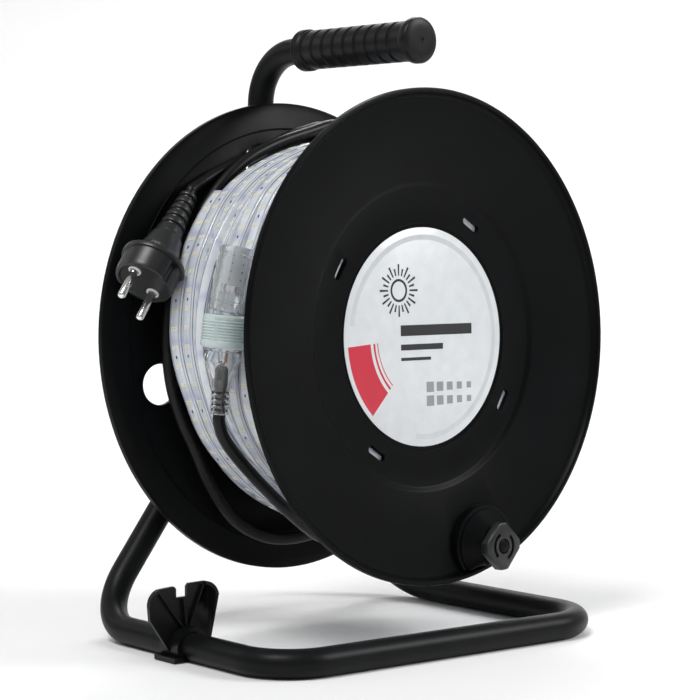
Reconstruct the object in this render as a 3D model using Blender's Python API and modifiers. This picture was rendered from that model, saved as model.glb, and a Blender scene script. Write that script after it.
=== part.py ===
"""LED strip light on a hand-wound drum, with its tube stand, carrying grip, plug lead and foot clip.

Metres, +Z up, the front of the drum towards +X. Every piece of the drum is laid out round
the drum's own axis first and then put on the tilted axle.
"""

import math

import bmesh
import bpy
from mathutils import Matrix, Vector

for old in list(bpy.data.objects):
    bpy.data.objects.remove(old, do_unlink=True)

# Sizes

CLEAR = 0.0003  # between any two pieces that don't turn on each other
RUNNING = 0.0005  # round a pin or an axle that turns

TUBE_R = 0.008
AXLE_HEIGHT = 0.1766  # the drum's middle above the floor
AXLE_TILT = math.radians(1.5)  # the axle rises a little towards the front

# the bent tube: where its straight runs would cross, before the bends are rounded
STAND_X = -0.0890
ARM_Z = AXLE_HEIGHT + 0.1717
ARM_END_X = 0.0440
FOOT_Z = TUBE_R
HUB_DROP = 0.0023  # how far the tilted axle has come down by the time that it reaches the stand
FOOT_REAR_LEFT = (-0.0944, -0.1249)
FOOT_FRONT_LEFT = (0.0855, -0.1379)
FOOT_FRONT_RIGHT = (0.1028, 0.1011)
FOOT_REAR_RIGHT = (-0.0944, 0.1154)
ARM_BEND = 0.031
LEG_BEND = 0.037
HUB_BEND = 0.040
FRONT_LEFT_BEND = 0.030
RIGHT_LEG_STOP = 0.004  # short of the hub's middle, inside the other leg

HUB_PLATE_R = 0.028
HUB_PLATE_THICK = 0.004
AXLE_R = 0.007
AXLE_FRONT_X = -0.0160
NUT_R = 0.0115
NUT_THICK = 0.0045

GRIP_REAR_X = -0.0480
GRIP_FRONT_X = 0.0530
GRIP_R = 0.0118
GRIP_GROOVE_R = 0.0106
GRIP_COLLAR_R = 0.0126
GRIP_END_R = 0.0134
GRIP_GROOVES = 9
GRIP_PITCH = 0.00935
GRIP_FIRST_GROOVE_X = -0.0386

DRUM_R = 0.1425
DRUM_HALF_W = 0.0665
RIM_BAND = 0.0042
FLANGE_THICK = 0.003
RIM_FACE = 0.0050  # how wide the rim's flat front is
CONE_OUTER_R = DRUM_R - RIM_FACE
CONE_INNER_R = 0.0880
CONE_OUTER_X = 0.0626  # the outer face just inside the rim
CONE_INNER_X = 0.0578
DISH_X = 0.0556
DISH_R = 0.0862
BARREL_R = 0.0725
BARREL_WALL = 0.0025
HUB_TUBE_R = 0.0125
HUB_TUBE_FRONT_X = -0.0250

LABEL_R = 0.0631
LABEL_THICK = 0.0004
LABEL_WELL_R = 0.0652
LABEL_WELL_DEPTH = 0.0009

SLOT_RING_R = 0.0758
SLOT_LENGTH = 0.0140
SLOT_WIDTH = 0.0046
SLOT_FIRST_ANGLE = math.radians(-31.5)

HOLE_RING_R = 0.1080
HOLE_R = 0.0121
HOLE_FIRST_ANGLE = math.radians(13.5)

WINDING_REAR_X = -0.0350
WINDING_FRONT_X = DISH_X - FLANGE_THICK - CLEAR
WINDING_STEP_X = -0.0085  # the last layer lies between the rear edge and here
WINDING_R = 0.1160
WINDING_EDGE_R = 0.1118  # the rearmost turn, which has slipped down a little
WINDING_LOW_R = 0.1092
WINDING_PITCH = 0.0088
WINDING_LAYERS = 6

KNOB_FROM_RIM = 0.013955
KNOB_ANGLE = math.radians(-72.805)
KNOB_PAD_X = 0.0652
KNOB_PAD_R = 0.0235
KNOB_BODY_R = 0.0210  # the flared seat that the knob stands on
KNOB_BODY_TOP_R = 0.0118
KNOB_BODY_TOP_X = 0.0732
KNOB_FACE_X = 0.0800
KNOB_HEAD_THICK = 0.0060
KNOB_HEAD_FLAT = 0.0115  # half the distance across the head's flats
KNOB_HEAD_CORNER = 0.0140
KNOB_NECK_R = 0.0105
KNOB_PIN_R = 0.0040

LEAD_R = 0.0035

CONNECTOR_TAIL_END = Vector((0.0177, -0.1230, -0.0390))  # where the lead goes in
CONNECTOR_NUT_LOW = Vector((0.0220, -0.1230, -0.0026))
CONNECTOR_NUT_TOP = Vector((0.0234, -0.1215, 0.0155))
CONNECTOR_TOP = Vector((0.0269, -0.1140, 0.0522))
CONNECTOR_NUT_R = 0.0128
CONNECTOR_BODY_R = 0.0105
CONNECTOR_TAIL_R = 0.0106
CONNECTOR_TAIL_TIP_R = 0.0062
CONNECTOR_RELIEF_R = 0.0052
CONNECTOR_RELIEF_LENGTH = 0.0145

PLUG_FACE = Vector((-0.0355, -0.1329, 0.0338))
PLUG_BACK = Vector((-0.0475, -0.0891, 0.0837))  # the end of its strain relief
PLUG_PIN_LINE = Vector((-0.113, 0.748, -0.654))
PLUG_PIN_R = 0.0024
PLUG_PIN_LENGTH = 0.0190
PLUG_PIN_APART = 0.0190
PLUG_FACE_R = 0.0175
PLUG_COLLAR_R = 0.0190
PLUG_BODY_LENGTH = 0.0160  # from the face to the collar's back
PLUG_COLLAR_THICK = 0.0030
PLUG_NECK_R = 0.0105
PLUG_NECK_LENGTH = 0.0200
PLUG_RELIEF_R = 0.0078
PLUG_RELIEF_TIP_R = 0.0052

CLIP_X = -0.0020
CLIP_PLATE_THICK = 0.0024
CLIP_CLAMP_LENGTH = 0.0180
CLIP_CLAMP_R = 0.0108

# the lead's route from the connector to the plug: degrees round the drum, radius and x
LEAD_ROUTE = (
    (201.6, 0.1308, 0.0171), (204.2, 0.1305, 0.0172), (207.0, 0.1292, 0.0173), (210.2, 0.1274, 0.0173),
    (213.9, 0.1255, 0.0172), (218.6, 0.1235, 0.0168), (224.5, 0.1213, 0.0155), (231.9, 0.1200, 0.0135),
    (239.4, 0.1190, 0.0088),
    (247, 0.1190, 0.0025), (257, 0.1205, -0.0070), (270, 0.1225, -0.0170), (285, 0.1226, -0.0258),
    (300, 0.1222, -0.0335), (318, 0.1210, -0.0400), (336, 0.1190, -0.0432),
    (355, 0.1180, -0.0445), (375, 0.1190, -0.0450), (395, 0.1230, -0.0452),
    (412, 0.1285, -0.0454), (428, 0.1325, -0.0455), (438, 0.1320, -0.0456),
    (448, 0.1240, -0.0456), (462, 0.1180, -0.0456), (476, 0.1150, -0.0456),
    (491, 0.1112, -0.0457), (507, 0.1078, -0.0459), (524, 0.1074, -0.0460),
    (539, 0.1080, -0.0460), (553, 0.1088, -0.0460), (565, 0.1090, -0.0460),
    (574, 0.1095, -0.0460), (586, 0.1150, -0.0461), (597, 0.1215, -0.0462),
    (606, 0.1245, -0.0464), (616, 0.1248, -0.0468), (627, 0.1225, -0.0478),
    (640, 0.1195, -0.0495), (656, 0.1170, -0.0512), (675, 0.1155, -0.0525),
    (700, 0.1160, -0.0532), (725, 0.1185, -0.0534), (750, 0.1230, -0.0536), (775, 0.1290, -0.0538),
    (796, 0.1310, -0.0539), (807, 0.1251, -0.0538), (814, 0.1199, -0.0536), (820, 0.1163, -0.0533),
    (825.5, 0.1144, -0.0530), (830, 0.1137, -0.0530), (834, 0.1141, -0.0530), (838, 0.1152, -0.0530),
    (843, 0.1168, -0.0530), (848, 0.1186, -0.0524),
)

# Collections and materials

parts = bpy.data.collections.new("led_strip_light")
cutters = bpy.data.collections.new("cutters")
bpy.context.scene.collection.children.link(parts)
bpy.context.scene.collection.children.link(cutters)
cutters.hide_render = True


def material(name, colour, roughness, metallic=0.0):
    made = bpy.data.materials.new(name)
    made.use_nodes = True
    shader = made.node_tree.nodes["Principled BSDF"]
    shader.inputs["Base Color"].default_value = (*colour, 1.0)
    shader.inputs["Roughness"].default_value = roughness
    shader.inputs["Metallic"].default_value = metallic
    return made


BLACK_COAT = material("black_coat", (0.018, 0.019, 0.021), 0.42)
GRIP_PLASTIC = material("grip_plastic", (0.014, 0.014, 0.015), 0.5)
DRUM_PLASTIC = material("drum_plastic", (0.016, 0.017, 0.018), 0.45)
LABEL_PAPER = material("label_paper", (0.86, 0.87, 0.88), 0.4)
STRIP_PVC = material("strip_pvc", (0.78, 0.81, 0.86), 0.22)
CLEAR_PVC = material("clear_pvc", (0.72, 0.77, 0.80), 0.18)
MILKY_PVC = material("milky_pvc", (0.72, 0.80, 0.80), 0.3)
LEAD_RUBBER = material("lead_rubber", (0.012, 0.012, 0.013), 0.5)
PLUG_PLASTIC = material("plug_plastic", (0.014, 0.014, 0.015), 0.45)
PLATED = material("plated_brass", (0.80, 0.80, 0.80), 0.16, 1.0)
CLIP_PLASTIC = material("clip_plastic", (0.012, 0.012, 0.013), 0.4)

ON_AXLE = Matrix.Translation((0, 0, AXLE_HEIGHT)) @ Matrix.Rotation(-AXLE_TILT, 4, "Y")
STANDING = Matrix.Identity(4)


# Builders

def placed_object(name, data, look, placed, home):
    """An object in the parts collection unless told otherwise, put in its place by its own matrix."""
    made = bpy.data.objects.new(name, data)
    (home or parts).objects.link(made)
    made.matrix_world = placed
    if look:
        data.materials.append(look)
    if home is cutters:
        made.hide_render = True
        made.display_type = "WIRE"
    return made


def turned(name, profile, sides, look, placed, home=None):
    """A profile of (along, radius) points turned round +X. It is closed round, or both its ends are on the axis."""
    on_axis = profile[0][1] == 0.0 and profile[-1][1] == 0.0
    # the side away from the axis runs from high x to low x, so that the faces turn outwards
    twice_area = sum(a[0] * b[1] - b[0] * a[1] for a, b in zip(profile, profile[1:] + profile[:1]))
    points = profile[::-1] if twice_area < 0 else profile
    edges = [(n, n + 1) for n in range(len(points) - 1)] + ([] if on_axis else [(len(points) - 1, 0)])
    data = bpy.data.meshes.new(name)
    data.from_pydata([(x, r, 0.0) for x, r in points], edges, [])
    made = placed_object(name, data, look, placed, home)
    screw = made.modifiers.new("turn", "SCREW")
    screw.axis, screw.angle, screw.screw_offset = "X", 2 * math.pi, 0.0
    screw.steps = screw.render_steps = sides
    screw.use_merge_vertices, screw.merge_threshold = True, 1e-6
    screw.use_smooth_shade = True
    return made


def rod(name, low, high, radius, sides, placed, look=None, home=cutters):
    """A plain cylinder along +X, which is a cutter or a piece to join unless it is given a home."""
    return cone(name, low, high, radius, radius, sides, placed, look, home)


def cone(name, low, high, radius_low, radius_high, sides, placed, look=None, home=cutters):
    """A cylinder or cone along +X from low to high."""
    shape = bmesh.new()
    bmesh.ops.create_cone(shape, cap_ends=True, segments=sides, radius1=radius_low, radius2=radius_high,
                          depth=high - low, matrix=Matrix.Translation(((low + high) / 2, 0, 0))
                          @ Matrix.Rotation(math.radians(90), 4, "Y"))
    data = bpy.data.meshes.new(name)
    shape.to_mesh(data)
    shape.free()
    data.shade_smooth()
    data.set_sharp_from_angle(angle=math.radians(35))
    return placed_object(name, data, look, placed, home)


def along_line(start, end, spare=None):
    """The matrix that lays +X along the line from start to end, with its zero at start. Spare is where +Y goes."""
    forward = (Vector(end) - Vector(start)).normalized()
    side = Vector(spare) if spare else (Vector((0, 0, 1)) if abs(forward.z) < 0.9 else Vector((0, 1, 0)))
    side = (side - forward * side.dot(forward)).normalized()
    up = forward.cross(side)
    turn = Matrix((forward, side, up)).transposed().to_4x4()
    return Matrix.Translation(start) @ turn


def prism(name, outline, low, high, look, placed, home=None):
    """An outline of (y, z) points made solid from low to high along +X."""
    shape = bmesh.new()
    flat = shape.faces.new([shape.verts.new((low, y, z)) for y, z in outline])
    grown = bmesh.ops.extrude_face_region(shape, geom=[flat])
    bmesh.ops.translate(shape, vec=(high - low, 0, 0),
                        verts=[v for v in grown["geom"] if isinstance(v, bmesh.types.BMVert)])
    bmesh.ops.recalc_face_normals(shape, faces=shape.faces)
    data = bpy.data.meshes.new(name)
    shape.to_mesh(data)
    shape.free()
    return placed_object(name, data, look, placed, home)


def arc(centre, radius, first, last, steps):
    """Points of a circle from one angle to another, in degrees."""
    angles = [math.radians(first + (last - first) * n / steps) for n in range(steps + 1)]
    return [(centre[0] + radius * math.cos(a), centre[1] + radius * math.sin(a)) for a in angles]


def rounded(corners, bends, steps=6):
    """The corner points with each inner one replaced by an arc of its own bend radius."""
    path = [Vector(corners[0])]
    for before, at, after, bend in zip(corners, corners[1:], corners[2:], bends):
        at = Vector(at)
        back, on = (Vector(before) - at).normalized(), (Vector(after) - at).normalized()
        half = back.angle(on) / 2
        start = at + back * bend / math.tan(half)
        centre = at + (back + on).normalized() * bend / math.sin(half)
        spoke = start - centre
        axis = spoke.cross(at + on * bend / math.tan(half) - centre).normalized()
        sweep = math.pi - 2 * half
        count = max(2, round(steps * sweep / (math.pi / 2)))
        path += [centre + Matrix.Rotation(sweep * n / count, 3, axis) @ spoke for n in range(count + 1)]
    return path + [Vector(corners[-1])]


def swept(name, path, radius, round_steps, look, placed, home=None):
    """A round bar along a path of points, with flat ends: a curve with a bevel."""
    data = bpy.data.curves.new(name, "CURVE")
    data.dimensions, data.bevel_mode = "3D", "ROUND"
    data.bevel_depth, data.bevel_resolution, data.use_fill_caps = radius, round_steps, True
    line = data.splines.new("POLY")
    line.points.add(len(path) - 1)
    for point, at in zip(line.points, path):
        point.co = (*at, 1.0)
    return placed_object(name, data, look, placed, home)


def as_mesh(bar):
    """The same bar as a closed mesh, so that it can be joined to others."""
    bpy.context.view_layer.update()
    data = bpy.data.meshes.new_from_object(bar.evaluated_get(bpy.context.evaluated_depsgraph_get()))
    shape = bmesh.new()
    shape.from_mesh(data)
    bmesh.ops.remove_doubles(shape, verts=shape.verts, dist=1e-6)
    bmesh.ops.recalc_face_normals(shape, faces=shape.faces)
    shape.to_mesh(data)
    shape.free()
    name, placed, home = bar.name, bar.matrix_world.copy(), bar.users_collection[0]
    bpy.data.objects.remove(bar)
    data.name = name
    made = bpy.data.objects.new(name, data)
    home.objects.link(made)
    made.matrix_world = placed
    return made


def joined(target, *others):
    for other in others:
        step = target.modifiers.new("join_" + other.name, "BOOLEAN")
        step.operation, step.solver, step.object = "UNION", "EXACT", other
        step.use_self = True


def cut(target, *others):
    for other in others:
        step = target.modifiers.new("cut_" + other.name, "BOOLEAN")
        step.operation, step.solver, step.object = "DIFFERENCE", "EXACT", other


def smooth_route(points, per_span=2):
    """Catmull-Rom points through the given ones."""
    out = []
    ends = [points[0]] + points + [points[-1]]
    for p0, p1, p2, p3 in zip(ends, ends[1:], ends[2:], ends[3:]):
        for n in range(per_span):
            t = n / per_span
            out.append(0.5 * (2 * p1 + (p2 - p0) * t + (2 * p0 - 5 * p1 + 4 * p2 - p3) * t * t
                              + (3 * p1 - p0 - 3 * p2 + p3) * t * t * t))
    return out + [points[-1]]


# The stand: one bent tube, the round plate welded where the legs meet, and the axle

hub_z = AXLE_HEIGHT - HUB_DROP
leg_right = (Vector((*FOOT_REAR_RIGHT, FOOT_Z)) - Vector((STAND_X, 0, hub_z))).normalized()
tube_corners = [
    (ARM_END_X, 0, ARM_Z), (STAND_X, 0, ARM_Z), (STAND_X, 0, hub_z), (*FOOT_REAR_LEFT, FOOT_Z),
    (*FOOT_FRONT_LEFT, FOOT_Z), (*FOOT_FRONT_RIGHT, FOOT_Z), (*FOOT_REAR_RIGHT, FOOT_Z),
    Vector((STAND_X, 0, hub_z)) + leg_right * RIGHT_LEG_STOP,
]
tube_bends = [ARM_BEND, HUB_BEND, LEG_BEND, FRONT_LEFT_BEND, LEG_BEND, LEG_BEND]
stand = as_mesh(swept("stand_tube", rounded(tube_corners, tube_bends), TUBE_R, 8, BLACK_COAT, STANDING))

plate_back = STAND_X + TUBE_R - 0.0035
hub_plate = turned(
    "hub_plate",
    [(plate_back, 0.0), (plate_back, HUB_PLATE_R), (plate_back + HUB_PLATE_THICK, HUB_PLATE_R),
     (plate_back + HUB_PLATE_THICK, AXLE_R), (AXLE_FRONT_X - 0.001, AXLE_R),
     (AXLE_FRONT_X, AXLE_R - 0.001), (AXLE_FRONT_X, 0.0)],
    40, BLACK_COAT, ON_AXLE, cutters)
joined(stand, hub_plate)

# The grip on the arm

grip_profile = [(GRIP_REAR_X, 0.0), (GRIP_REAR_X, GRIP_COLLAR_R - 0.0008),
                (GRIP_REAR_X + 0.0010, GRIP_COLLAR_R), (GRIP_REAR_X + 0.0055, GRIP_COLLAR_R),
                (GRIP_REAR_X + 0.0065, GRIP_R)]
for n in range(GRIP_GROOVES):
    middle = GRIP_FIRST_GROOVE_X + n * GRIP_PITCH
    grip_profile += [(middle - 0.0016, GRIP_R), (middle, GRIP_GROOVE_R), (middle + 0.0016, GRIP_R)]
grip_profile += [(GRIP_FRONT_X - 0.0085, GRIP_R), (GRIP_FRONT_X - 0.0060, GRIP_END_R - 0.0003),
                 (GRIP_FRONT_X - 0.0045, GRIP_END_R), (GRIP_FRONT_X - 0.0016, GRIP_END_R - 0.0002),
                 (GRIP_FRONT_X - 0.0004, GRIP_END_R - 0.0016), (GRIP_FRONT_X, GRIP_END_R - 0.0050),
                 (GRIP_FRONT_X, 0.0)]
on_arm = Matrix.Translation((0, 0, ARM_Z))
grip = turned("carry_grip", grip_profile, 20, GRIP_PLASTIC, on_arm)
cut(grip, rod("grip_bore", GRIP_REAR_X - 0.01, ARM_END_X + CLEAR, TUBE_R + CLEAR, 32, on_arm))

# The front flange, with its slots and the raised pad for the winding knob

inner = FLANGE_THICK
front_profile = [
    (DISH_X - LABEL_WELL_DEPTH, 0.0), (DISH_X - LABEL_WELL_DEPTH, LABEL_WELL_R),
    (DISH_X, LABEL_WELL_R + 0.0004), (DISH_X, DISH_R), (CONE_INNER_X, CONE_INNER_R + 0.0012),
    (CONE_OUTER_X, CONE_OUTER_R), (DRUM_HALF_W - 0.0012, DRUM_R - 0.0030),
    (DRUM_HALF_W, DRUM_R - 0.0022), (DRUM_HALF_W, DRUM_R - 0.0006), (DRUM_HALF_W - 0.0006, DRUM_R),
    (DRUM_HALF_W - RIM_BAND, DRUM_R), (DRUM_HALF_W - RIM_BAND - 0.0008, DRUM_R - 0.0014),
    (CONE_OUTER_X - inner, CONE_OUTER_R - 0.0014), (CONE_INNER_X - inner, CONE_INNER_R - 0.0006),
    (DISH_X - inner, DISH_R - 0.0012), (DISH_X - inner, 0.0),
]
front_flange = turned("front_flange", front_profile, 64, DRUM_PLASTIC, ON_AXLE)

knob_radius = DRUM_R - KNOB_FROM_RIM
outwards = Matrix.Rotation(KNOB_ANGLE, 4, "X")
pad_outline = [(knob_radius + y, z) for y, z in arc((0, 0), KNOB_PAD_R, 90, 270, 14)]
pad_edge = DRUM_R - 0.0045
pad_half = math.asin(KNOB_PAD_R * 0.93 / pad_edge)
pad_outline += [(pad_edge * math.cos(a), pad_edge * math.sin(a))
                for a in [pad_half * (n / 3 - 1) for n in range(7)]]
knob_pad = prism("knob_pad", pad_outline, CONE_INNER_X + 0.0014, KNOB_PAD_X, None, ON_AXLE @ outwards, cutters)
knob_body = cone("knob_body", KNOB_PAD_X - 0.0010, KNOB_BODY_TOP_X, KNOB_BODY_R, KNOB_BODY_TOP_R, 24,
                 ON_AXLE @ outwards @ Matrix.Translation((0, knob_radius, 0)))
beyond = pad_edge - 0.0004
cut(knob_body, prism("knob_body_limit", [(beyond, -0.05), (beyond + 0.05, -0.05), (beyond + 0.05, 0.05), (beyond, 0.05)],
                     KNOB_PAD_X - 0.02, KNOB_BODY_TOP_X + 0.02, None, ON_AXLE @ outwards, cutters))
joined(front_flange, knob_pad, knob_body)

slot_cutters = []
for n in range(4):
    angle = math.degrees(SLOT_FIRST_ANGLE) + 90 * n
    half, end = SLOT_WIDTH / 2, (SLOT_LENGTH - SLOT_WIDTH) / 2
    outline = arc((SLOT_RING_R, end), half, 0, 180, 6) + arc((SLOT_RING_R, -end), half, 180, 360, 6)
    slot_cutters.append(prism(f"slot_{n}", outline, DISH_X - 0.02, DISH_X + 0.02, None,
                              ON_AXLE @ Matrix.Rotation(math.radians(angle), 4, "X"), cutters))
knob_at = Matrix.Translation((0, knob_radius * math.cos(KNOB_ANGLE), knob_radius * math.sin(KNOB_ANGLE)))
knob_hole = rod("knob_hole", DISH_X - 0.02, KNOB_BODY_TOP_X + 0.02, KNOB_PIN_R + CLEAR, 20, ON_AXLE @ knob_at)
cut(front_flange, *slot_cutters, knob_hole)

# The rear flange, moulded in one with the barrel and the tube that runs on the axle

hub_back = plate_back + HUB_PLATE_THICK + RUNNING
rear_profile = [
    (-DISH_X, HUB_TUBE_R + 0.0060), (-DISH_X, DISH_R), (-CONE_INNER_X, CONE_INNER_R + 0.0012),
    (-CONE_OUTER_X, CONE_OUTER_R), (-DRUM_HALF_W + 0.0012, DRUM_R - 0.0030),
    (-DRUM_HALF_W, DRUM_R - 0.0022), (-DRUM_HALF_W, DRUM_R - 0.0006), (-DRUM_HALF_W + 0.0006, DRUM_R),
    (-DRUM_HALF_W + RIM_BAND, DRUM_R), (-DRUM_HALF_W + RIM_BAND + 0.0008, DRUM_R - 0.0014),
    (-CONE_OUTER_X + inner, CONE_OUTER_R - 0.0014), (-CONE_INNER_X + inner, CONE_INNER_R - 0.0006),
    (-DISH_X + inner, DISH_R - 0.0012), (-DISH_X + inner, BARREL_R),
    (DISH_X - inner - CLEAR, BARREL_R), (DISH_X - inner - CLEAR, BARREL_R - BARREL_WALL),
    (-DISH_X + inner, BARREL_R - BARREL_WALL), (-DISH_X + inner, HUB_TUBE_R),
    (HUB_TUBE_FRONT_X, HUB_TUBE_R), (HUB_TUBE_FRONT_X, AXLE_R + RUNNING),
    (hub_back, AXLE_R + RUNNING), (hub_back, HUB_TUBE_R + 0.0030), (-DISH_X - 0.004, HUB_TUBE_R + 0.0060),
]
rear_flange = turned("rear_flange", rear_profile, 64, DRUM_PLASTIC, ON_AXLE)
hole_cutters = []
for n in range(4):
    at = ON_AXLE @ Matrix.Rotation(HOLE_FIRST_ANGLE + n * math.pi / 2, 4, "X") @ Matrix.Translation((0, HOLE_RING_R, 0))
    hole_cutters.append(rod(f"hole_{n}", -DISH_X - 0.02, -DISH_X + 0.02, HOLE_R, 28, at))
cut(rear_flange, *hole_cutters)

# What keeps the drum on the axle: a washer and a nut inside the barrel, both fixed to the axle

washer_back = HUB_TUBE_FRONT_X + RUNNING
turned("axle_washer",
       [(washer_back, AXLE_R + CLEAR), (washer_back, HUB_TUBE_R + 0.0005), (washer_back + 0.0015, HUB_TUBE_R + 0.0005),
        (washer_back + 0.0015, AXLE_R + CLEAR)], 28, PLATED, ON_AXLE)
nut_back = washer_back + 0.0015 + CLEAR
nut_outline = [(NUT_R * math.cos(n * math.pi / 3), NUT_R * math.sin(n * math.pi / 3)) for n in range(6)]
nut = prism("axle_nut", nut_outline, nut_back, nut_back + NUT_THICK, PLATED, ON_AXLE)
cut(nut, rod("nut_bore", nut_back - 0.01, nut_back + 0.02, AXLE_R + CLEAR, 28, ON_AXLE))

label_back = DISH_X - LABEL_WELL_DEPTH + CLEAR
rod("label", label_back, label_back + LABEL_THICK, LABEL_R, 72, ON_AXLE, LABEL_PAPER, parts)

# The wound strip: one turned solid with its bore, grooved where its turns and layers meet

winding_sides = 40
bore = (BARREL_R + CLEAR) / math.cos(math.pi / winding_sides)  # clear of the barrel at its flats too
layer = (WINDING_LOW_R - bore) / (WINDING_LAYERS - 1)
groove = 0.0008
end_levels = [bore + n * layer for n in range(1, WINDING_LAYERS - 1)]
turn_count = round((WINDING_FRONT_X - WINDING_REAR_X) / WINDING_PITCH)
high_turns = round((WINDING_STEP_X - WINDING_REAR_X) / WINDING_PITCH)
tops = [WINDING_EDGE_R] + [WINDING_R] * (high_turns - 1) + [WINDING_LOW_R] * (turn_count - high_turns)
turn_width = (WINDING_FRONT_X - WINDING_REAR_X) / turn_count
winding_profile = [(WINDING_REAR_X, bore)]
for level in end_levels:
    winding_profile += [(WINDING_REAR_X, level - groove), (WINDING_REAR_X + groove, level),
                        (WINDING_REAR_X, level + groove)]
winding_profile.append((WINDING_REAR_X, tops[0] - groove))
for n, top in enumerate(tops):
    low, high = WINDING_REAR_X + n * turn_width, WINDING_REAR_X + (n + 1) * turn_width
    winding_profile += [(low + groove, top), (high - groove, top)]
    if n + 1 < turn_count:
        winding_profile.append((high, min(top, tops[n + 1]) - groove))
winding_profile.append((WINDING_FRONT_X, tops[-1] - groove))
for level in reversed(end_levels):
    winding_profile += [(WINDING_FRONT_X, level + groove), (WINDING_FRONT_X - groove, level),
                        (WINDING_FRONT_X, level - groove)]
winding_profile.append((WINDING_FRONT_X, bore))
turned("strip_winding", winding_profile, winding_sides, STRIP_PVC, ON_AXLE)

# The connector between the strip and the lead

tail_end, nut_low = CONNECTOR_TAIL_END, CONNECTOR_NUT_LOW
nut_top, body_top = CONNECTOR_NUT_TOP, CONNECTOR_TOP
tail_lean = (nut_low - tail_end).angle(nut_top - nut_low)
tail_length = (nut_low - tail_end).length - CLEAR - CONNECTOR_TAIL_R * math.sin(tail_lean)
relief = CONNECTOR_RELIEF_LENGTH
tail_profile = [(0.0, 0.0), (0.0, CONNECTOR_RELIEF_R)]
for n in range(4):
    at = 0.0018 + n * 0.0031
    tail_profile += [(at, CONNECTOR_RELIEF_R), (at + 0.0003, CONNECTOR_RELIEF_R - 0.0010),
                     (at + 0.0011, CONNECTOR_RELIEF_R - 0.0010), (at + 0.0014, CONNECTOR_RELIEF_R)]
tail_profile += [(relief, CONNECTOR_RELIEF_R), (relief, CONNECTOR_TAIL_TIP_R),
                 (relief + 0.0120, CONNECTOR_TAIL_R - 0.0022), (tail_length - 0.0040, CONNECTOR_TAIL_R),
                 (tail_length, CONNECTOR_TAIL_R), (tail_length, 0.0)]
turned("connector_tail", tail_profile, 16, CLEAR_PVC, ON_AXLE @ along_line(tail_end, nut_low))
nut_length = (nut_top - nut_low).length
turned("connector_nut",
       [(0.0, 0.0), (0.0, CONNECTOR_NUT_R - 0.0008), (0.0008, CONNECTOR_NUT_R), (nut_length - 0.0010, CONNECTOR_NUT_R),
        (nut_length, CONNECTOR_NUT_R - 0.0010), (nut_length, 0.0)],
       28, MILKY_PVC, ON_AXLE @ along_line(nut_low, nut_top))
body_lean = (body_top - nut_top).angle(nut_top - nut_low)
body_start = nut_top + (body_top - nut_top).normalized() * (CLEAR + CONNECTOR_BODY_R * math.sin(body_lean))
body_length = (body_top - body_start).length
turned("connector_body",
       [(0.0, 0.0), (0.0, CONNECTOR_BODY_R - 0.0006), (0.0006, CONNECTOR_BODY_R), (body_length - 0.0012, CONNECTOR_BODY_R),
        (body_length, CONNECTOR_BODY_R - 0.0012), (body_length, 0.0)],
       24, CLEAR_PVC, ON_AXLE @ along_line(body_start, body_top))

# The lead, from the connector round the drum to the plug, along its real route

plug_out = (PLUG_FACE - PLUG_BACK).normalized()
tail_out = (tail_end - nut_low).normalized()
lead_start = tail_end + tail_out * CLEAR
lead_end = PLUG_BACK - plug_out * CLEAR
route = [lead_start, lead_start + tail_out * 0.0015, lead_start + tail_out * 0.003]
for degrees, radius, x in LEAD_ROUTE:
    angle = math.radians(degrees)
    route.append(Vector((x, radius * math.cos(angle), radius * math.sin(angle))))
route += [lead_end - plug_out * 0.006, lead_end - plug_out * 0.003, lead_end]
swept("plug_lead", smooth_route(route), LEAD_R, 3, LEAD_RUBBER, ON_AXLE)

# The plug

pins_along = (PLUG_PIN_LINE - plug_out * PLUG_PIN_LINE.dot(plug_out)).normalized()
plug_length = (PLUG_FACE - PLUG_BACK).length
on_plug = ON_AXLE @ along_line(PLUG_BACK, PLUG_FACE, pins_along)
collar = plug_length - PLUG_BODY_LENGTH
neck = collar - PLUG_NECK_LENGTH
plug_profile = [(0.0, 0.0), (0.0, PLUG_RELIEF_TIP_R)]
for n in range(5):
    at = 0.003 + n * (neck - 0.004) / 5
    grown = PLUG_RELIEF_TIP_R + (PLUG_RELIEF_R - PLUG_RELIEF_TIP_R) * n / 4
    plug_profile += [(at, grown), (at + 0.0006, grown - 0.0010), (at + 0.0018, grown - 0.0010), (at + 0.0024, grown + 0.0004)]
plug_profile += [(neck, PLUG_RELIEF_R + 0.0006), (neck + 0.0020, PLUG_NECK_R - 0.0010),
                 (neck + 0.0070, PLUG_NECK_R), (collar - 0.0060, PLUG_NECK_R + 0.0020),
                 (collar, PLUG_COLLAR_R - 0.0030), (collar, PLUG_COLLAR_R),
                 (collar + PLUG_COLLAR_THICK, PLUG_COLLAR_R), (collar + PLUG_COLLAR_THICK, PLUG_FACE_R),
                 (plug_length - 0.0010, PLUG_FACE_R), (plug_length, PLUG_FACE_R - 0.0010), (plug_length, 0.0)]
plug = turned("plug_body", plug_profile, 24, PLUG_PLASTIC, on_plug)
notches = []
for sign in (-1, 1):
    notch_centre = (0.0, sign * (PLUG_FACE_R + 0.0006))
    notches.append(prism(f"plug_notch_{'ab'[sign > 0]}", arc(notch_centre, 0.0030, 0, 330, 11),
                         collar + PLUG_COLLAR_THICK, plug_length + 0.01, None, on_plug, cutters))
pin_seats = []
pin_foot = plug_length - 0.004
for n, sign in enumerate((-1, 1)):
    at = on_plug @ Matrix.Translation((0, sign * PLUG_PIN_APART / 2, 0))
    pin_seats.append(rod(f"pin_seat_{n}", pin_foot, plug_length + 0.01, PLUG_PIN_R + CLEAR, 16, at))
    pin_tip = plug_length + PLUG_PIN_LENGTH
    turned(f"plug_pin_{n + 1}", [
        (pin_foot + CLEAR, 0.0), (pin_foot + CLEAR, PLUG_PIN_R), (pin_tip - 0.0016, PLUG_PIN_R),
        (pin_tip - 0.0005, PLUG_PIN_R * 0.72), (pin_tip, PLUG_PIN_R * 0.35), (pin_tip, 0.0),
    ], 16, PLATED, at)
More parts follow.
